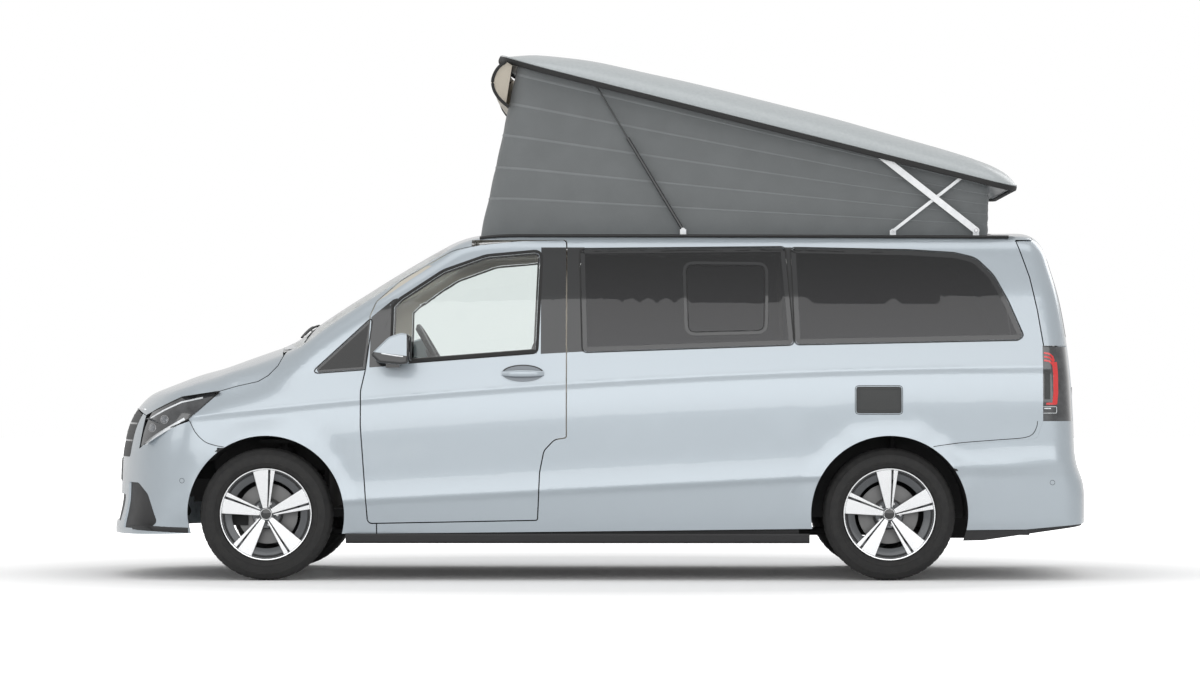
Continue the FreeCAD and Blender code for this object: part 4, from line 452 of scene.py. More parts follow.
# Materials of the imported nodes; their meshes stay as they are.
CORNERS = ["%s_%s" % (end, side) for end, _, _ in AXLES for side, _ in SIDES]
for material, names in (
        (PAINT_PLAIN, "bonnet front_fenders front_bumper tailgate rear_bumper"),
        (PAINT_FRAME, "windscreen_frame roof_panel"), (PAINT_SHELL, "roof_shell"),
        (MIRROR_PAINT, "mirror_left mirror_right"), (PAINT_DOOR, "door_left door_right"),
        (PAINT_SIDE, "side_panel_left side_panel_right sliding_door"),
        (BLACK, "grille intake_grilles sill_trims rear_valance"),
        (SCREEN_GLASS, "windscreen"), (DARK_GLASS, "side_windows tailgate_window"),
        (CLEAR_GLASS, "door_window_left door_window_right"), (LAMP_BODY, "headlamps tail_lamps"),
        (UNDER, "floor_pan front_frame engine front_suspension rear_suspension knuckle_left knuckle_right fuel_tank "
                "exhaust"),
        (LINK, "roof_arms roof_links roof_brackets"), (GLOSS_BLACK, "strut_tubes strut_rods"),
        (CABIN, "dashboard steering_wheel"), (PANEL, "kitchen_unit"), (SEAT, "front_seats rear_bench"),
        (CANVAS, "canvas"), (TYRE, " ".join("tyre_" + corner for corner in CORNERS)),
        (RIM_DARK, " ".join("rim_" + corner for corner in CORNERS)),
        (DISC, " ".join("disc_" + corner for corner in CORNERS))):
    for node in names.split():
        NODES[node].data.materials.clear()
        NODES[node].data.materials.append(material)


# Mesh helpers.

BEVELLED_ANGLE = 40


def turns(count):
    """Evenly spaced angles round a full turn."""
    return [TURN * k / count for k in range(count)]


def finished(name, mesh, materials, body="van", auto=35, bevel=0.0):
    """Object from a mesh with its materials, smooth up to an angle and on its body."""
    made = add_object(name, mesh)
    for material in materials:
        mesh.materials.append(material)
    if bevel:
        edge = made.modifiers.new("soft_edge", "BEVEL")
        edge.width, edge.segments, edge.harden_normals = bevel, 3, False
        edge.limit_method, edge.angle_limit = "ANGLE", math.radians(BEVELLED_ANGLE)
    for polygon in mesh.polygons:
        polygon.use_smooth = True
    mesh.set_sharp_from_angle(angle=math.radians(auto))
    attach(made, body)
    return made


def quads(rows, count, closed=True, first=0):
    """Faces between rows of count points each."""
    return [(first + i * count + j, first + i * count + (j + 1) % count, first + (i + 1) * count + (j + 1) % count,
             first + (i + 1) * count + j) for i in range(rows - 1) for j in range(count if closed else count - 1)]


def piece(name, verts, faces, material, body="van", auto=35):
    mesh = bpy.data.meshes.new(name)
    mesh.from_pydata([tuple(v) for v in verts], [], faces)
    mesh.validate()
    return finished(name, mesh, [material], body, auto)


def loft(name, rings, material, body="van", closed=True, first=False, last=False, auto=35):
    """Skin through rings of equal point count; the first and last ring are filled in where asked."""
    count, total = len(rings[0]), len(rings) * len(rings[0])
    faces = quads(len(rings), count, closed)
    if first:
        faces.append(tuple(range(count))[::-1])
    if last:
        faces.append(tuple(range(total - count, total)))
    return piece(name, [p for ring in rings for p in ring], faces, material, body, auto)


def smooth_path(points, per):
    """Catmull-Rom points through a few given ones."""
    out = []
    ends = [points[0] + (points[0] - points[1])] + points + [points[-1] + (points[-1] - points[-2])]
    for p0, p1, p2, p3 in zip(ends, ends[1:], ends[2:], ends[3:]):
        for t in [k / per for k in range(per)]:
            out.append(.5 * ((2 * p1) + (p2 - p0) * t + (2 * p0 - 5 * p1 + 4 * p2 - p3) * t * t
                             + (3 * p1 - p0 - 3 * p2 + p3) * t ** 3))
    return out + [points[-1]]


def tube(name, path, radius, material, body="van", sides=8, closed=False, flat=1.0):
    rings, n = [], len(path)
    for i, point in enumerate(path):
        ahead = path[(i + 1) % n] if closed or i + 1 < n else point
        behind = path[i - 1] if closed or i > 0 else point
        way = (ahead - behind).normalized()
        side = way.cross(Vector((0, 0, 1)))
        if side.length < 1e-4:
            side = way.cross(Vector((1, 0, 0)))
        side.normalize()
        rise = side.cross(way).normalized()
        rings.append([point + side * (radius * math.cos(a)) + rise * (radius * flat * math.sin(a))
                      for a in turns(sides)])
    if closed:
        rings.append(rings[0])
    return loft(name, rings, material, body, first=not closed, last=not closed, auto=80)


def block_mesh(lo, hi, radius, segments=3):
    """Rounded box mesh between two corners."""
    lo, hi = Vector(lo), Vector(hi)
    size = [hi[i] - lo[i] for i in range(3)]
    bm = bmesh.new()
    bmesh.ops.create_cube(bm, size=1)
    for v in bm.verts:
        v.co = Vector([lo[i] + size[i] * (v.co[i] + .5) for i in range(3)])
    bmesh.ops.bevel(bm, geom=bm.edges[:] + bm.verts[:], offset=min(radius, min(size) * .49), segments=segments,
                    profile=.5, affect="EDGES")
    return mesh_from(bm, "block")


def mesh_from(bm, name):
    mesh = bpy.data.meshes.new(name)
    bm.to_mesh(mesh)
    bm.free()
    return mesh


TREES = {}
# Rays start this far out beside the van, and ahead of it or behind it; a missed side is sought near SIDE_GUESS.
SIDE_START, SIDE_GUESS, END_START = 1.4, .92, 3.2


def surface(node, origin, way):
    """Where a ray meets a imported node's skin, with the normal there."""
    if node not in TREES:
        mesh = NODES[node].data
        TREES[node] = BVHTree.FromPolygons([v.co.copy() for v in mesh.vertices],
                                           [tuple(p.vertices) for p in mesh.polygons])
    return TREES[node].ray_cast(Vector(origin), Vector(way))[:2]


def outermost(nodes, origin, way):
    """First place that a ray meets on some nodes, with its normal turned against the ray, or None."""
    way, best = Vector(way), None
    for node in nodes:
        place, normal = surface(node, origin, way)
        if place is not None and (best is None or (place - best[0]).dot(way) < 0):
            best = place, -normal if normal.dot(way) > 0 else normal
    return best


# Wheels. Depths run inwards from the rim's outer face.
FACE_OFFSET, BOLT_CIRCLE = .095, .057
SPOKES, SPOKE_STEP, SPOKE_TURN, BOLT_TURN = 5, 72, -3, 23
RIM_EDGE, RIM_FACE, RIM_DISH, SPOKE_BEVEL = .234, .006, .01, .0022
TYRE_MIDDLE, TYRE_POINTS, LUG_PITCH = .095, 300, 6
GROOVES, TREAD_EDGE, LUG_EDGE = (.042, .075), .3365, .315
TREAD_LUG, SHOULDER_LUG = -.003, -.0014
SHOULDER = [(.2165, .012), (.236, .0085), (.243, -.002), (.252, -.0095), (.262, -.0145),
            (.2635, -.0165), (.2665, -.0165), (.268, -.0148), (.285, -.016), (.3, -.013),
            (.3015, -.014), (.306, -.013), (.3075, -.0105), (.318, -.003), (.327, .004),
            (.3335, .012), (.3365, .021)]
# Name, material, points round, smooth angle and profile of the wheel's turned parts.
TURNED = (
    ("rim", RIM_DARK, 96, 40, (
        (.2345, 0.0), (.2345, .007), (.23, .0095), (.217, .012), (.212, .02), (.212, .05),
        (.205, .06), (.205, .165), (.216, .178), (.234, .184), (.234, .19), (.229, .19),
        (.212, .183), (.199, .17), (.199, .06), (.206, .048), (.206, .026), (.223, .016),
        (.229, .006), (.232, 0.0), (.2345, 0.0))),
    ("rim_lip", MACHINED, 96, 40, ((.2352, -.0005), (.2352, .004), (.231, .006), (.2275, .0075),
                                   (.2275, .0035), (.23, 0.0), (.2352, -.0005))),
    ("rim_ledge", RIM_DARK, 96, 35, ((.2285, .012), (.224, .02), (.181, .026), (.177, .029),
                                     (.179, .044), (.208, .048))),
    ("rim_hub", RIM_DARK, 64, 35, ((.03, .019), (.04, .021), (.045, .03), (.064, .031),
                                   (.07, .03), (.074, .034), (.074, .066), (.033, .066))),
    ("centre_cap", GLOSS_BLACK, 48, 30, ((.0005, .0115), (.018, .012), (.0255, .014), (.0275, .0132),
                                         (.0305, .0138), (.0318, .0175), (.0318, .03))),
    ("cap_ring", CHROME, 48, 35, ((.0262, .0128), (.0268, .0122), (.029, .0122), (.0298, .013),
                                  (.029, .014), (.0262, .0128))))
# Spoke outlines as (across, along), with how far each is sunk and how thick it is.
PLATES = (
    ("spoke", 0.0, .03, ((-.015, .03), (-.02, .05), (-.027, .08), (-.039, .14),
                         (-.0555, .22), (-.03, .2265), (0.0, .229), (.0235, .2278), (.0185, .15),
                         (.012, .08), (.0095, .05), (.008, .03))),
    ("spoke_bar", .003, .028, ((.0125, .032), (.014, .05), (.018, .08), (.0265, .15),
                               (.0345, .2262), (.046, .2243), (.058, .2213), (.043, .15),
                               (.029, .08), (.0235, .05), (.02, .036))))
WHEEL_BOLT = ((.0005, .0185), (.006, .0185), (.0085, .0205), (.009, .03))


def tyre_profile():
    tread, start = [], .03
    for groove in GROOVES:
        tread += [(.3378 + .0012 * (start / TYRE_MIDDLE), start), (.3385, groove - .005),
                  (.3315, groove - .0035), (.3315, groove + .0035), (.339, groove + .005)]
        start = groove + .014
    outer = SHOULDER + tread + [(.3395, TYRE_MIDDLE)]
    return outer + [(r, 2 * TYRE_MIDDLE - depth) for r, depth in outer[:-1][::-1]]


def lugs(radius, k):
    """Small cross grooves on the tread and the shoulder."""
    if k % LUG_PITCH or radius <= LUG_EDGE:
        return 0
    return TREAD_LUG if radius > TREAD_EDGE else SHOULDER_LUG


def spoke_plate(name, outline, sunk, depth, body, place, sign, angle):
    """Bevelled plate in the wheel's plane, machined in front and painted on its sides."""
    bm = bmesh.new()
    cosine, sine = math.cos(angle), math.sin(angle)

    def world(t, r, rise):
        x, z = t * cosine + r * sine, r * cosine - t * sine
        front = RIM_FACE + RIM_DISH * (1 - r / RIM_EDGE) + sunk
        return bm.verts.new(place + Vector((x * -sign, (front + rise) * -sign, z)))

    top = [world(t, r, 0) for t, r in outline]
    low = [world(t, r, depth) for t, r in outline]
    bm.faces.new(top)
    for i in range(len(top)):
        k = (i + 1) % len(top)
        bm.faces.new((top[i], low[i], low[k], top[k])).material_index = 1
    bm.faces.new(low[::-1]).material_index = 1
    bmesh.ops.recalc_face_normals(bm, faces=bm.faces)
    finished(name, mesh_from(bm, name), [MACHINED, RIM_DARK], body, bevel=SPOKE_BEVEL)


def make_wheel(tag, sign, x, track):
    body = tag + "_wheel"
    face = Vector((x, sign * (track / 2 + FACE_OFFSET), AXLE_Z))

    def turned(profile, count, centre=face, wobble=None):
        return [[centre + Vector((r * math.sin(a), depth * -sign, r * math.cos(a))) for a, r in
                 [(a, radius + (wobble(radius, k) if wobble else 0)) for k, a in enumerate(turns(count))]]
                for radius, depth in profile]

    tyre = loft("tyre_" + tag, turned(tyre_profile(), TYRE_POINTS, wobble=lugs), TYRE, body, auto=28)
    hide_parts("tyre_" + tag)
    for part, material, count, auto, profile in TURNED:
        made = loft("%s_%s" % (part, tag), turned(profile, count), material, body, auto=auto)
        if part == "rim":
            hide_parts("rim_" + tag)
    for k in range(SPOKES):
        for part, sunk, depth, outline in PLATES:
            spoke_plate("%s_%s_%d" % (part, tag, k), outline, sunk, depth, body, face, sign,
                        math.radians(SPOKE_STEP * k + SPOKE_TURN))
        turn = math.radians(BOLT_TURN + SPOKE_STEP * k)
        at = face + Vector((BOLT_CIRCLE * math.sin(turn) * -sign, 0, BOLT_CIRCLE * math.cos(turn)))
        loft("bolt_%s_%d" % (tag, k), turned(WHEEL_BOLT, 6, at), STEEL, body, auto=20)


for end, x, track in AXLES:
    for side, sign in SIDES:
        make_wheel("%s_%s" % (end, side), sign, x, track)


# Pieces that lie on the skin.

STRAIGHT, MAX_CUT, EDGE = math.radians(177), .48, .0005


def rounded_loop(points, per=5):
    """Closed outline with its corners rounded; points are (x, z) or (x, z, radius)."""
    out, count = [], len(points)
    for i, given in enumerate(points):
        corner = Vector(given[:2])
        radius = given[2] if len(given) > 2 else 0
        back, on = Vector(points[i - 1][:2]) - corner, Vector(points[(i + 1) % count][:2]) - corner
        angle = back.angle(on)
        if radius <= 0 or angle > STRAIGHT:
            out.append(corner)
            continue
        cut = min(radius / math.tan(angle / 2), back.length * MAX_CUT, on.length * MAX_CUT)
        start, end = corner + back.normalized() * cut, corner + on.normalized() * cut
        for t in [k / per for k in range(per + 1)]:
            out.append(start * (1 - t) ** 2 + corner * (2 * t * (1 - t)) + end * t ** 2)
    return out


def resampled(loop, pitch, closed=True):
    out, count = [], len(loop)
    for i in range(count if closed else count - 1):
        a, b = loop[i], loop[(i + 1) % count]
        parts = max(1, round((b - a).length / pitch))
        out += [a + (b - a) * (k / parts) for k in range(parts)]
    return out if closed else out + [loop[-1]]


def outline(points, pitch=.02):
    return resampled(rounded_loop(points), pitch)


def rect(x0, x1, z0, z1, radius, pitch=.02):
    return outline([(x, z, radius) for x, z in ((x0, z0), (x1, z0), (x1, z1), (x0, z1))], pitch)


def line(points):
    return [Vector(p) for p in points]


def past(points, pitch=.03):
    return resampled(line(points), pitch, closed=False)


def oval(x, z, wide, high, angles):
    return [Vector((x + wide * math.cos(a), z + high * math.sin(a))) for a in angles]


def middle_of(loop):
    return sum(loop, Vector((0, 0))) / len(loop)


def offset_loop(loop, distance):
    """Outline moved outwards by a distance, or inwards by a negative one."""
    count, out = len(loop), []
    area = sum(loop[i].x * loop[(i + 1) % count].y - loop[(i + 1) % count].x * loop[i].y for i in range(count))
    way = 1 if area > 0 else -1
    for i, here in enumerate(loop):
        before, after = here - loop[i - 1], loop[(i + 1) % count] - here
        first, second = Vector((before.y, -before.x)).normalized(), Vector((after.y, -after.x)).normalized()
        middle = first + second
        middle = first if middle.length < 1e-6 else middle.normalized()
        out.append(here + middle * (distance * way / max(.5, middle.dot(first))))
    return out


def laid(nodes, x, z, sign, lift):
    """Point over the outermost of some nodes where the side is seen at x and z, or else over the nearest."""
    found = outermost(nodes, (x, sign * SIDE_START, z), (0, -sign, 0))
    if found:
        place, normal = found
    else:
        spots = [TREES[node].find_nearest(Vector((x, sign * SIDE_GUESS, z))) for node in nodes]
        place, normal, _, _ = min(spots, key=lambda spot: spot[3])
        place = Vector((x, place.y, z))
        if normal.y * sign < 0:
            normal = -normal
    if abs(normal.y) < .5:
        normal = Vector((0, sign, 0))
    return place + normal * lift


def on_end(way, nodes, y, z, lift=0.0):
    """Point on the nose's skin (way 1) or the tail's (way -1) at y and z, or None where it is missing."""
    found = outermost(nodes, (-END_START * way, y, z), (way, 0, 0))
    return found and found[0] + found[1] * lift


def edge_rows(outer, inner, lift, depth):
    """Offset and lift of a band's four rows; its edges go down by a depth."""
    return (outer, lift - depth), (outer - EDGE, lift), (inner + EDGE, lift), (inner, lift - depth)


def band(name, nodes, loop, outer, inner, lift, material, sign=-1, body="van", depth=.0015):
    """Thin band on a side's skin between two offsets of an outline."""
    rings = [[laid(nodes, p.x, p.y, sign, rise) for p in offset_loop(loop, distance)]
             for distance, rise in edge_rows(outer, inner, lift, depth)]
    return loft(name, rings, material, body, auto=50)


def ribbon(name, nodes, path, half, lift, material, sign=-1, body="van", depth=.002):
    """Narrow strip along an open line on a side's skin."""
    rings = []
    for distance, rise in ((half, lift - depth), (half * .8, lift), (-half * .8, lift), (-half, lift - depth)):
        ring = []
        for i, here in enumerate(path):
            way = (path[min(i + 1, len(path) - 1)] - path[max(i - 1, 0)]).normalized()
            moved = here + Vector((-way.y, way.x)) * distance
            ring.append(laid(nodes, moved.x, moved.y, sign, rise))
        rings.append(ring)
    loft(name, rings, material, body, closed=False, auto=50)


def patch(name, nodes, loop, lift, material, sign=-1, body="van", rows=4, hollow=0.0):
    """Closed outline filled in on a side's skin; hollow sinks its middle, or raises it when negative."""
    middle, rings = middle_of(loop), []
    for share in [1 - k / (rows + .35) for k in range(rows + 1)]:
        rise = lift - hollow * (1 - share ** 2)
        rings.append([laid(nodes, middle.x + (p.x - middle.x) * share, middle.y + (p.y - middle.y) * share, sign,
                           rise) for p in loop])
    loft(name, rings, material, body, last=True, auto=60)


def end_patch(name, way, nodes, loop, lift, material, body, depth, rows=4):
    """Outline in (y, z) filled in on the nose or the tail, with a rim that goes down by a depth."""
    middle = middle_of(loop)
    spread = [(1.0, lift - depth), (1.0, lift)] + [(1 - k / (rows + .4), lift) for k in range(1, rows + 1)]
    rings = [[on_end(way, nodes, *(middle + (p - middle) * share), rise) for p in loop] for share, rise in spread]
    loft(name, rings, material, body, last=True, auto=45)


# Outlines on the side, seen from the left as (x, z, corner radius).
DOOR_WINDOW = ((-1.041, 1.122, .02), (-.306, 1.178, .02), (-.284, 1.688, .03), (-.562, 1.663, .2),
               (-.779, 1.586, .2), (-.996, 1.443, .03), (-1.033, 1.406, .02))
DOOR_CORNER = ((-1.16, 1.093, .006), (-1.052, 1.101, .004), (-1.049, 1.398, .01), (-1.012, 1.452, .004),
               (-1.04, 1.443, .004), (-1.152, 1.352, .012))
DOOR_BELT = ((-1.045, 1.119), (-.68, 1.147), (-.30, 1.176))
QUARTER_GLASS = ((-1.455, 1.065, .014), (-1.183, 1.085, .01), (-1.148, 1.348, .01))
MIDDLE_WINDOW = ((-.078, 1.704, .025), (.978, 1.714, .025), (1.019, 1.211, .025), (-.063, 1.173, .025))
REAR_WINDOW = ((1.029, 1.212, .025), (2.17, 1.236, .03), (2.198, 1.255, .03), (2.121, 1.436, .2),
               (2.049, 1.57, .2), (1.961, 1.657, .12), (1.853, 1.683, .15), (1.611, 1.698, .3),
               (1.008, 1.71, .025))
VENT_PANE = ((.457, 1.633, .05), (.885, 1.628, .05), (.880, 1.272, .05), (.468, 1.261, .05))
HANDLE_Z, BOWL_HIGH, SHADE_HIGH, GRIP_OUT, GRIP_HIGH, GRIP_THICK = 1.062, .046, .042, .02, .0165, .0065

for side, sign in SIDES:
    door, pane, body = ("door_" + side,), ("door_window_" + side,), side + "_door"
    panel = ("side_panel_left",) if side == "left" else ("side_panel_right", "sliding_door")
    loop = outline(DOOR_WINDOW)
    band("door_glass_border_" + side, pane, loop, -.001, -.011, .0006, GLOSS_BLACK, sign, body)
    band("door_glass_seal_" + side, door, loop, .016, .0005, .0022, RUBBER, sign, body, .003)
    ribbon("door_belt_seal_" + side, door + pane, past(DOOR_BELT), .01, .005, RUBBER, sign, body, .005)
    patch("door_corner_" + side, door, outline(DOOR_CORNER), .0009, GLOSS_BLACK, sign, body)
    for tag, shape, border, skin in (
            ("middle", MIDDLE_WINDOW, .024, panel), ("rear", REAR_WINDOW, .026, panel),
            ("quarter", QUARTER_GLASS, .012, ("front_fenders",) + door + ("windscreen_frame",))):
        loop = outline(shape)
        band("%s_glass_border_%s" % (tag, side), ("side_windows",), loop, -.001, -border, .0006, GLOSS_BLACK, sign)
        band("%s_glass_seal_%s" % (tag, side), skin, loop, .007, .0003, .0012, RUBBER, sign, depth=.002)
    vent = outline(VENT_PANE)
    band("vent_pane_frame_" + side, ("side_windows",), vent, .008, -.008, .003, GLOSS_BLACK, sign, depth=.003)
    band("vent_pane_gap_" + side, ("side_windows",), vent, -.012, -.015, .0012, RUBBER, sign)


def door_handle(name, node, body, x0, x1, sign):
    """Pull handle that bridges a shallow bowl in the skin; the bowl's darker paint is painted shade in the recess,
    and the dark arc along its top is a painted shadow.
    """
    middle, reach, level, rings = (x0 + x1) / 2, (x1 - x0) / 2, HANDLE_Z + .001, []
    bowl = oval(middle, level, reach * 1.02, BOWL_HIGH, turns(48))
    shade = oval(middle, level, reach * .97, SHADE_HIGH, [math.radians(18 + 144 * k / 20) for k in range(21)])
    patch(name + "_bowl", (node,), bowl, .0008, BOWL_PAINTED_SHADE, sign, body)
    band(name + "_bowl_edge", (node,), bowl, .003, -.002, .0014, PAINT_PLAIN, sign, body)
    # Dark arc under the bowl's upper lip: a painted shadow.
    ribbon(name + "_shade", (node,), shade, .0042, .0013, FLAP_GREY, sign, body)
    for t in [k / 20 for k in range(21)]:
        lift = GRIP_OUT * min(1, math.sin(math.pi * t) * 1.9)
        root = laid((node,), x0 + (x1 - x0) * t, HANDLE_Z, sign, 0)
        half = GRIP_HIGH * (.72 + .28 * math.sin(math.pi * t))
        rings.append([root + Vector((0, sign * (lift + GRIP_THICK * math.sin(a) + .004), half * math.cos(a)))
                      for a in turns(12)])
    loft(name, rings, PAINT_PLAIN, body, first=True, last=True, auto=50)


for side, sign in SIDES:
    door_handle("door_handle_" + side, "door_" + side, side + "_door", -.478, -.262, sign)
door_handle("slide_handle", "sliding_door", "van", .02, .235, 1)

# Service flap on the left side and fuel flap on the right.
flap = rect(1.334, 1.575, .999, .854, .02)
fuel = [p + Vector((1.36, 0.0)) for p in rect(-.080, .105, .985, .800, .02)]
band("service_flap_gap", ("side_panel_left",), flap, .003, -.001, .0004, RUBBER)
patch("service_flap", ("side_panel_left",), offset_loop(flap, -.004), .002, FLAP_GREY)
band("service_flap_rim", ("side_panel_left",), offset_loop(flap, -.014), .004, -.004, .0038, FLAP_GREY)
band("fuel_flap_gap", ("side_panel_right", "sliding_door"), fuel, .002, -.002, .0004, RUBBER, 1)

# Raised roof and its cloth. On the raised roof u runs back, y across and w up.
POP_X, POP_Z, POP_TURN = -.468, 2.682, math.radians(14.2)
POP_HALF, POP_FRONT, POP_REAR, POP_CURVE = .7, -.064, 2.764, .026
FRONT_CURVE, FRONT_ROUND, REAR_ROUND, POP_ARCH, POP_MIDDLE = .04, .3, .15, .04, 1.35


def pop_point(u, y, w):
    return Vector((POP_X + u * math.cos(POP_TURN) + w * math.sin(POP_TURN), y,
                   POP_Z - u * math.sin(POP_TURN) + w * math.cos(POP_TURN)))


def pop_arch(y):
    return POP_ARCH * (1 - (y / POP_HALF) ** 2)


def rim_outline():
    """Plan of the raised roof's rim as (u, y), both halves, with rounded corners."""
    flat_rear, flat_front = POP_HALF - REAR_ROUND, POP_HALF - FRONT_ROUND
    start, end = POP_REAR - POP_CURVE - REAR_ROUND, POP_FRONT + FRONT_CURVE + FRONT_ROUND
    left = [(POP_REAR - POP_CURVE * (k / 6) ** 2, -flat_rear * k / 6) for k in range(7)]
    left += [(start + REAR_ROUND * math.cos(a), -(flat_rear + REAR_ROUND * math.sin(a)))
             for a in [math.radians(90 * k / 8) for k in range(1, 9)]]
    left += [(start + (end - start) * k / 40, -POP_HALF) for k in range(1, 41)]
    left += [(end - FRONT_ROUND * math.sin(a), -(flat_front + FRONT_ROUND * math.cos(a)))
             for a in [math.radians(90 * k / 10) for k in range(1, 11)]]
    left += [(POP_FRONT + FRONT_CURVE * (1 - k / 8) ** 2, -flat_front * (1 - k / 8)) for k in range(1, 9)]
    return left + [(u, -y) for u, y in left[1:-1]][::-1]


RIM = rim_outline()


def rim_band(name, section, material):
    """Sweep (out, up) offsets round the rim of the raised roof."""
    rings = []
    for i, (u, y) in enumerate(RIM):
        ahead, behind = RIM[(i + 1) % len(RIM)], RIM[i - 1]
        way = Vector((ahead[0] - behind[0], ahead[1] - behind[1])).normalized()
        out = Vector((way.y, -way.x))
        if out.dot(Vector((u - POP_MIDDLE, y))) < 0:
            out = -out
        rings.append([pop_point(u + out.x * a, y + out.y * a, pop_arch(y) + b) for a, b in section])
    loft(name, rings + rings[:1], material, "raised_roof", auto=50)


rim_band("rim_seal", [(-.018, -.001), (-.016, -.008), (-.006, -.011), (.003, -.009), (.0055, -.002),
                      (.005, .01), (.003, .0165), (-.0015, .017), (-.003, .004)], RUBBER)
rim_band("rim_line", [(-.0005, .0185), (.0022, .019), (.0026, .0225), (-.0005, .0235)], PAINT_SHELL)

# The bellows: front and rear ends at the foot and the head, half widths, and seams as shares of the height.
CANVAS_LOW, CANVAS_HIGH, CANVAS_ROUND = (-.602, 2.044, .611), (-.41, 2.05, .607), .085
SEAMS = (.22, .4, .585, .767, .937)
COLUMNS, ROWS, CANVAS_MIDDLE, BELLY, SLOW_CREASE, FAST_CREASE = 300, 54, .7, .0035, .0012, .0009


def plan_loop(x0, x1, half):
    """Rounded rectangle as evenly spaced points, starting at the rear's middle."""
    corners = [(x, y, CANVAS_ROUND) for x, y in ((x1, -half), (x0, -half), (x0, half), (x1, half))]
    loop = rounded_loop([(x1, 0)] + corners, 6)
    lengths, out, j = [0], [], 0
    for i, p in enumerate(loop):
        lengths.append(lengths[-1] + (loop[(i + 1) % len(loop)] - p).length)
    for k in range(COLUMNS):
        at = lengths[-1] * k / COLUMNS
        while lengths[j + 1] < at:
            j += 1
        t = (at - lengths[j]) / max(1e-9, lengths[j + 1] - lengths[j])
        a, b = loop[j], loop[(j + 1) % len(loop)]
        out.append(a + (b - a) * t)
    return out


def canvas_bulge(v, k):
    """How far the cloth bellies out between its seams, with small creases."""
    edges = (0.0,) + SEAMS + (1.0,)
    for low, high in zip(edges, edges[1:]):
        if low <= v <= high:
            t = (v - low) / (high - low)
            belly = BELLY * math.sin(math.pi * t)
            crease = SLOW_CREASE * math.sin(k * .41 + 5.3 * low) * math.sin(math.pi * t)
            crease += FAST_CREASE * math.sin(k * .93 + 2.1 * v * 9) * math.sin(math.pi * t)
            return belly + crease


def roof_height_at(x, y):
    place, _ = surface("roof_panel", (x, y, 2.4), (0, 0, -1))
    return place.z if place is not None else 1.79


def canvas_row(v, extra=0.0):
    """Points round the bellows at a share of its height."""
    row = []
    for k, (low, high) in enumerate(zip(LOW_LOOP, HIGH_LOOP)):
        foot = Vector((low.x, low.y, FEET[k] - .004))
        head = pop_point((high.x - POP_X) / math.cos(POP_TURN), high.y, pop_arch(high.y) + .004)
        side = (0, math.copysign(1, low.y), 0) if abs(low.y) > CANVAS_LOW[2] - .03 else (
            math.copysign(1, low.x - CANVAS_MIDDLE), 0, 0)
        row.append(foot + (head - foot) * v + Vector(side) * (canvas_bulge(v, k) + extra))
    return row


LOW_LOOP, HIGH_LOOP = plan_loop(*CANVAS_LOW), plan_loop(*CANVAS_HIGH)
FEET = [roof_height_at(p.x, p.y) for p in LOW_LOOP]
for k in range(COLUMNS):
    near = [FEET[(k + d) % COLUMNS] for d in (-2, -1, 0, 1, 2)]
    if min(near) < FEET[k] - .05:
        FEET[k] = max(near)
bellows = loft("bellows", [canvas_row(r / ROWS) for r in range(ROWS + 1)], CANVAS, auto=60)
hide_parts("canvas")
verts, faces = [], []
for seam in SEAMS:
    faces += quads(4, COLUMNS, first=len(verts))
    for v, lift in ((seam - .0075, .0006), (seam - .003, .0024), (seam + .003, .0024),
                    (seam + .0075, .0006)):
        verts += canvas_row(v, lift)
seams = piece("bellows_seams", verts, faces, SEAM_CLOTH, auto=60)
for made in (bellows, seams):
    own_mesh(made)

# The hood at the front of the bellows: a curved visor, its two cheeks and their piping.
HOOD_HALF = .65
HOOD = smooth_path([Vector((x, 0, z)) for x, z in ((-.486, 2.682), (-.528, 2.651), (-.554, 2.599), (-.551, 2.547),
                                                   (-.523, 2.495), (-.471, 2.443))], 6)
rings = []
for j in range(41):
    y = -HOOD_HALF + 2 * HOOD_HALF * j / 40
    rings.append([Vector((p.x + .02 * (y / HOOD_HALF) ** 4, y, p.z + pop_arch(y) * .9
                          - .006 * abs(math.sin(2.5 * math.pi * y / HOOD_HALF)) * math.sin(math.pi * i / 30)))
                  for i, p in enumerate(HOOD)])
hood = loft("front_hood", rings, LINING, "raised_roof", closed=False, auto=60)
cheeks, pipings = [], []
for side, sign in SIDES:
    edge = rings[0] if sign < 0 else rings[-1]
    inner = [Vector((-.434 + (p.z - 2.682) * .16, sign * .604, max(2.447, min(2.668, p.z)))) for p in edge]
    rows = [[a + (b - a) * t for a, b in zip(edge, inner)] for t in (0, .33, .66, 1)]
    cheeks.append(loft("hood_cheek_" + side, rows, LINING, "raised_roof", closed=False, auto=60))
    pipings.append(tube("hood_piping_" + side, [p + Vector((0, sign * .003, 0)) for p in edge], .0085, RUBBER,
                        "raised_roof", sides=10))


for made in [hood] + cheeks + pipings:
    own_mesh(made)

# Rails on the fixed roof's edges.
RAIL_FRONT, RAIL_LENGTH, RAIL_Y, RAIL_CURVE, RAIL_MIDDLE = -.6, 2.74, .717, .006, .6
for side, sign in SIDES:
    path = []
    for x in [RAIL_FRONT + RAIL_LENGTH * k / 55 for k in range(56)]:
        y = sign * (RAIL_Y - RAIL_CURVE * ((x - RAIL_MIDDLE) / 1.4) ** 2)
        path.append(Vector((x, y, roof_height_at(x, y) + .0035)))
    tube("roof_rail_" + side, path, .013, BLACK, sides=12, flat=.62)
    tube("roof_joint_" + side, [p + Vector((0, sign * .017, -.006)) for p in path], .0045, RUBBER, flat=.5)

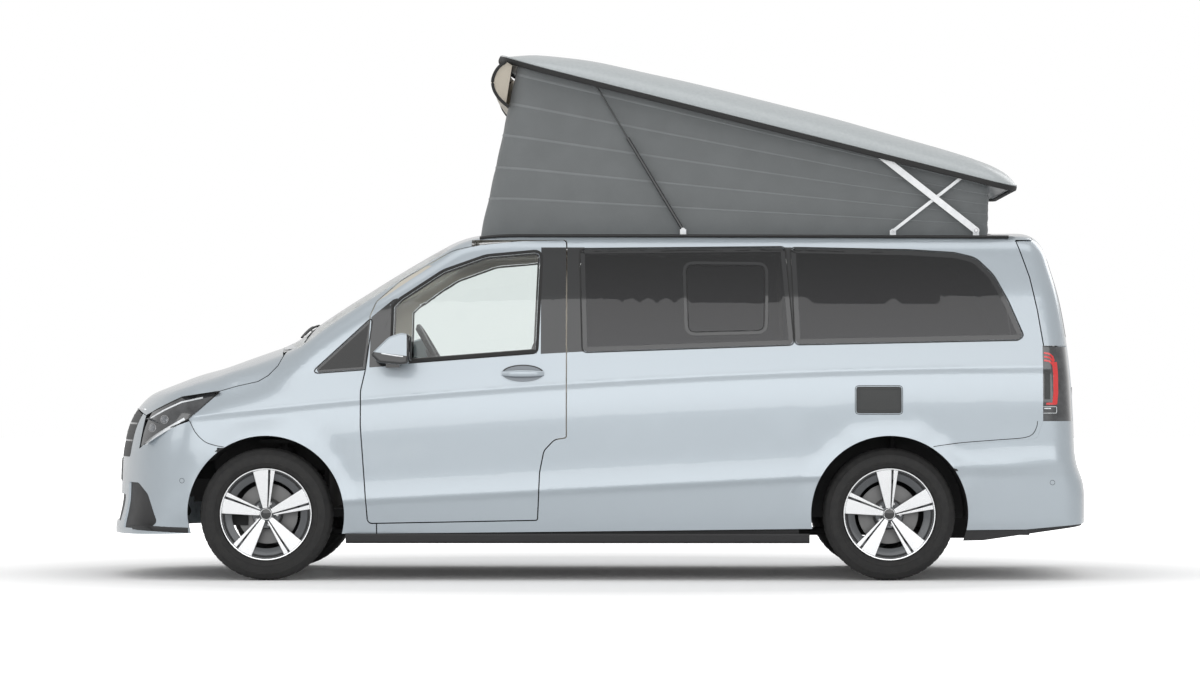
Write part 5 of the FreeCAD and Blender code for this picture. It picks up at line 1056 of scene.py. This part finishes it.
# Bolts of the lifting gear: body, x, z, y, radius, and whether they point outwards or inwards.
for side, sign in SIDES:
    for tag, body, x, z, y, radius, way in (
            ("lift", "roof_arms", 1.977, 1.806, .6615, .0105, 1),
            ("head", "roof_arms", 1.4821, 2.1947, .6615, .0105, 1),
            ("link_head", "roof_links", 1.9072, 2.0851, .6485, .006, 1),
            ("link_foot", "roof_links", 1.546, 1.804, .6485, .006, 1),
            ("strut_foot", "strut_tubes", .455, 1.809, .6205, .006, -1),
            ("strut_head", "strut_rods", -.0036, 2.5727, .629, .006, -1)):
        profile = ((.0004, .0034), (radius * .75, .0034), (radius, .002), (radius, -.0005))
        rings = [[Vector((x + r * math.sin(a), sign * y + sign * way * d, z + r * math.cos(a))) for a in turns(12)]
                 for r, d in profile]
        loft("bolt_%s_%s" % (tag, side), rings, STEEL, body, auto=25)

# Lamps.
DAY_LINES = (("day_light_low", ((-2.325, .700), (-2.282, .733), (-2.215, .772), (-2.11, .829)), .0085),
             ("day_light_top", ((-2.318, .826), (-2.225, .874), (-2.133, .914), (-2.02, .938)), .0045))
LAMP_EYES, EYE_RADIUS, GUIDE_DROP = ((-2.292, .782), (-2.222, .826)), .021, .019
TAIL_LINES = (
    ("tail_bar", ((2.356, 1.12), (2.362, 1.06), (2.362, .96), (2.356, .905)), .015, .0014, LAMP_RED),
    ("tail_foot", ((2.312, .907), (2.362, .907)), .0065, .0016, LAMP_RED),
    ("tail_field", ((2.318, 1.08), (2.318, .93)), .018, .001, FLAP_GREY))
SEAL_LINE = ((-2.292, .868), (-2.133, .940), (-1.93, .971), (-2.088, .828), (-2.226, .768), (-2.309, .716),
             (-2.34, .694))


def lamp_line(name, nodes, path, half, lift, material, sign):
    ribbon(name, nodes, past(path, .012), half, lift, material, sign, depth=.004)


for side, sign in SIDES:
    lamp, tail = ("headlamps",), ("tail_lamps",)
    for tag, path, half in DAY_LINES:
        lamp_line("%s_%s" % (tag, side), lamp, path, half, .0012, LAMP_WHITE, sign)
    for k, (x, z) in enumerate(LAMP_EYES):
        ring = oval(x, z, EYE_RADIUS, EYE_RADIUS, turns(32))
        made = band("lamp_ring_%s_%d" % (side, k), lamp, ring, .0015, -.0015, .0012, STEEL, sign)
        patch("lamp_eye_%s_%d" % (side, k), lamp, offset_loop(ring, -.003), .0008, LAMP_SMOKE, sign, hollow=-.003)
    ribbon("headlamp_seal_" + side, ("headlamps", "front_bumper", "front_fenders", "bonnet"), past(SEAL_LINE, .02),
           .0035, .0008, RUBBER, sign)
    for k in range(3):
        drop = GUIDE_DROP * k
        lamp_line("tail_guide_%s_%d" % (side, k), tail, ((2.302, 1.168 - drop), (2.33, 1.163 - drop),
                                                         (2.346, 1.148 - drop), (2.354, 1.125 - drop)),
                  .0056, .0016, LAMP_RED, sign)
    for tag, path, half, lift, material in TAIL_LINES:
        lamp_line("%s_%s" % (tag, side), tail, path, half, lift, material, sign)
    band("reverse_frame_" + side, tail, rect(2.281, 2.366, .859, .892, .006, .012), .0014, -.0016, .0012,
         LAMP_WHITE, sign)
    lamp_line("reverse_light_" + side, tail, ((2.292, .883), (2.336, .883)), .003, .0012, LAMP_WHITE, sign)

# Grille bars and the bright line over them.
BAR_HEIGHTS, BAR_SUNK, BRIGHT_Z = (.668, .712, .756, .800, .842), .0052, .876
for k, z in enumerate(BAR_HEIGHTS):
    spots = [on_end(1, ("grille", "front_bumper"), -.555 + 1.11 * j / 60, z) for j in range(61)]
    tube("grille_bar_%d" % k, [p + Vector((BAR_SUNK, 0, 0)) for p in spots if p is not None], .0062,
         GLOSS_BLACK if k % 2 else BLACK, flat=1.3)
tube("grille_line", [on_end(1, ("grille", "front_bumper", "bonnet"), -.56 + 1.12 * j / 60, BRIGHT_Z, .0015)
                     for j in range(61)], .0035, CHROME)

# Blank number plates in their holders: the front one follows the skin, the rear one is flat.
FRONT_PLATE_Z, REAR_PLATE_Z = .560, .93
for tag, wide, high, lift, material in (("holder", .268, .062, .003, BLACK),
                                        ("field", .259, .054, .006, PLATE)):
    end_patch("front_plate_" + tag, 1, ("front_bumper", "grille"),
              rect(-wide, wide, FRONT_PLATE_Z - high, FRONT_PLATE_Z + high, .006), lift, material, "van", .006, 6)
spots = [on_end(-1, ("tailgate",), y, z) for y in (-.25, 0, .25) for z in (REAR_PLATE_Z - .05, REAR_PLATE_Z + .05)]
rear_x = max(p.x for p in spots if p is not None)
for tag, wide, high, x0, x1, material in (("holder", .268, .063, -.022, .004, BLACK),
                                          ("field", .26, .055, .0035, .0055, PLATE)):
    block = block_mesh((rear_x + x0, -wide, REAR_PLATE_Z - high), (rear_x + x1, wide, REAR_PLATE_Z + high), .002)
    finished("rear_plate_" + tag, block, [material], "tailgate")

# Parking sensors, joints beside the bumpers and the dark lip under the front one.
FRONT_JOINT = ((-2.083, .818), (-2.05, .757), (-2.003, .712), (-1.95, .693), (-1.905, .685))
REAR_JOINT = ((1.7, .683), (1.866, .706), (2.05, .721), (2.19, .732), (2.24, .750), (2.262, .785), (2.268, .818))
LIP = ((-2.4, .268), (-2.25, .262), (-2.15, .258), (-2.092, .256))
for side, sign in SIDES:
    for tag, x, z in (("front", -2.122, .512), ("rear", 2.345, .503)):
        ring, skin = oval(x, z, .012, .012, turns(24)), (tag + "_bumper",)
        band("sensor_rim_%s_%s" % (tag, side), skin, ring, .0015, -.001, .0006, RUBBER, sign)
        patch("sensor_%s_%s" % (tag, side), skin, offset_loop(ring, -.001), .0006, PAINT_PLAIN, sign)
    for tag, joint, beside in (("front", FRONT_JOINT, "front_fenders"), ("rear", REAR_JOINT, "side_panel_" + side)):
        ribbon("%s_joint_%s" % (tag, side), (tag + "_bumper", beside), smooth_path(line(joint), 5), .0021, .0006,
               RUBBER, sign, depth=.001)
    ribbon("bumper_lip_" + side, ("front_bumper",), past(LIP), .014, .003, BLACK, sign, depth=.003)


# Wipers, tailgate grip, third brake light and the seal of the tailgate's glass.
SCREEN_FOOT, SCREEN_RUN, WIPER_LIFT, WIPER_FOOT = -1.56, .78, .016, .045


def on_screen(y, t, lift):
    """Point on the windscreen; t runs from its foot to its head."""
    found = outermost(("windscreen",), (SCREEN_FOOT + SCREEN_RUN * t, y, 3.0), (0, 0, -1))
    return found and found[0] + found[1] * lift


for tag, foot_y, tip_y, tip_t in (("left", -.56, .06, .1), ("right", .12, .7, .16)):
    spots = [on_screen(foot_y + (tip_y - foot_y) * k / 16, WIPER_FOOT + (tip_t - WIPER_FOOT) * k / 16, WIPER_LIFT)
             for k in range(17)]
    spots = [p for p in spots if p is not None]
    tube("wiper_arm_" + tag, spots[:11], .0075, BLACK, flat=.6)
    tube("wiper_blade_" + tag, [p + Vector((0, 0, -.005)) for p in spots[3:]], .0065, RUBBER, flat=.9)
spots = [on_end(-1, ("tailgate_window", "tailgate"), -.02 + .4 * k / 14, 1.3 - .01 * k / 14, WIPER_LIFT)
         for k in range(15)]
tube("rear_wiper", spots, .008, BLACK, "tailgate")
rings = [[spots[0] + Vector((dx, r * math.sin(a), r * math.cos(a))) for a in turns(20)]
         for r, dx in ((.026, -.018), (.024, .002), (.016, .01), (.0005, .011))]
loft("rear_wiper_hub", rings, BLACK, "tailgate", auto=40)
end_patch("gate_grip", -1, ("tailgate",), rect(-.3, .3, 1.01, 1.044, .012, .03), .01, GLOSS_BLACK,
          "tailgate", .012)
end_patch("brake_light", -1, ("tailgate",), rect(-.17, .17, 1.722, 1.738, .005, .03), .003, LAMP_RED,
          "tailgate", .004)
loop = outline(((-.680, 1.26, .03), (.680, 1.26, .03), (.640, 1.652, .06), (0, 1.674, .9), (-.640, 1.652, .06)), .03)
rings = [[on_end(-1, ("tailgate",), p.x, p.y, rise) for p in offset_loop(loop, distance)]
         for distance, rise in edge_rows(.008, .0004, .0014, .002)]
loft("gate_glass_seal", [ring + ring[:1] for ring in rings], RUBBER, "tailgate", closed=False, auto=50)

# Mirrors: the glass faces the driver, and a thin light line runs on the housing.
for side, sign in SIDES:
    body, rings = side + "_door", []
    loop = outline([(sign * y, z, radius) for y, z, radius in
                    ((1.005, 1.128, .02), (1.103, 1.134, .03), (1.103, 1.246, .03), (1.005, 1.252, .02))], .012)
    spots = [surface("mirror_" + side, (-.6, p.x, p.y), (-1, 0, 0))[0] for p in loop]
    x, middle = max(p.x for p in spots if p is not None) + .0008, middle_of(loop)
    for share, dx in ((1.0, -.003), (.985, 0.0), (.6, .0008), (.02, .0012)):
        rings.append([Vector((x + dx, middle.x + (p.x - middle.x) * share, middle.y + (p.y - middle.y) * share))
                      for p in loop])
    loft("mirror_glass_" + side, rings, MIRROR_GLASS, body, auto=40)
    tube("mirror_rim_" + side, [Vector((x + .001, p.x, p.y)) for p in loop], .003, BLACK, body, closed=True)
    light = past(((-1.085, 1.164), (-1.05, 1.158), (-1.01, 1.152), (-.975, 1.148)), .012)
    ribbon("mirror_light_" + side, ("mirror_" + side,), light, .0032, .0012, LAMP_WHITE, sign, body)


# Cabin.
SEAT_LEAN, BENCH_LEAN, SEAT_EDGES = math.radians(9), math.radians(6), (.15, .63)


def cushion(name, lo, hi, radius, lean=0.0, crown=.02, bolster=0.0):
    """Upholstered block with swollen faces; lean tips it back about its lower rear edge."""
    bm = bmesh.new()
    bm.from_mesh(block_mesh(lo, hi, radius, 4))
    bmesh.ops.subdivide_edges(bm, edges=bm.edges[:], cuts=3, use_grid_fill=True)
    middle, half = (Vector(lo) + Vector(hi)) / 2, (Vector(hi) - Vector(lo)) / 2
    for v in bm.verts:
        d = [(v.co[i] - middle[i]) / half[i] for i in range(3)]
        for i in range(3):
            v.co[i] += crown * d[i] * max(0, 1 - d[(i + 1) % 3] ** 2) * max(0, 1 - d[(i + 2) % 3] ** 2)
        if lean:
            v.co.x += -bolster * abs(d[1]) ** 3
            v.co.x += math.tan(lean) * (v.co.z - lo[2])
        else:
            v.co.z += bolster * abs(d[1]) ** 3
    made = finished(name, mesh_from(bm, name), [SEAT], auto=80)
    return made


first = None
for side, sign in SIDES:
    y0, y1 = sorted(sign * y for y in SEAT_EDGES)
    middle = (y0 + y1) / 2
    seat = cushion("seat_cushion_" + side, (-.745, y0, .615), (-.235, y1, .77), .045, bolster=.022)
    first = first or seat
    cushion("seat_back_" + side, (-.385, y0 + .01, .76), (-.27, y1 - .01, 1.245), .045, SEAT_LEAN, .012, .03)
    cushion("head_rest_" + side, (-.3, middle - .125, 1.265), (-.215, middle + .125, 1.42), .035, crown=.006)
    base = block_mesh((-.715, y0 + .04, .357), (-.265, y1 - .04, .617), .02)
    finished("seat_base_" + side, base, [CABIN])
    for k in (-1, 1):
        y = middle + .055 * k
        tube("head_post_%s_%d" % (side, k + 1), line(((-.262, y, 1.225), (-.258, y, 1.285))), .006, CHROME, sides=10)
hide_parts("front_seats")

for k, (y0, y1) in enumerate(((-.495, .02), (.04, .555))):
    cushion("bench_cushion_%d" % k, (.88, y0, .66), (1.33, y1, .815), .04)
    cushion("bench_back_%d" % k, (1.3, y0, .8), (1.4, y1, 1.235), .04, BENCH_LEAN, .012)
finished("bench_box", block_mesh((.885, -.48, .357), (1.47, .54, .662), .012), [PANEL])
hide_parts("rear_bench")
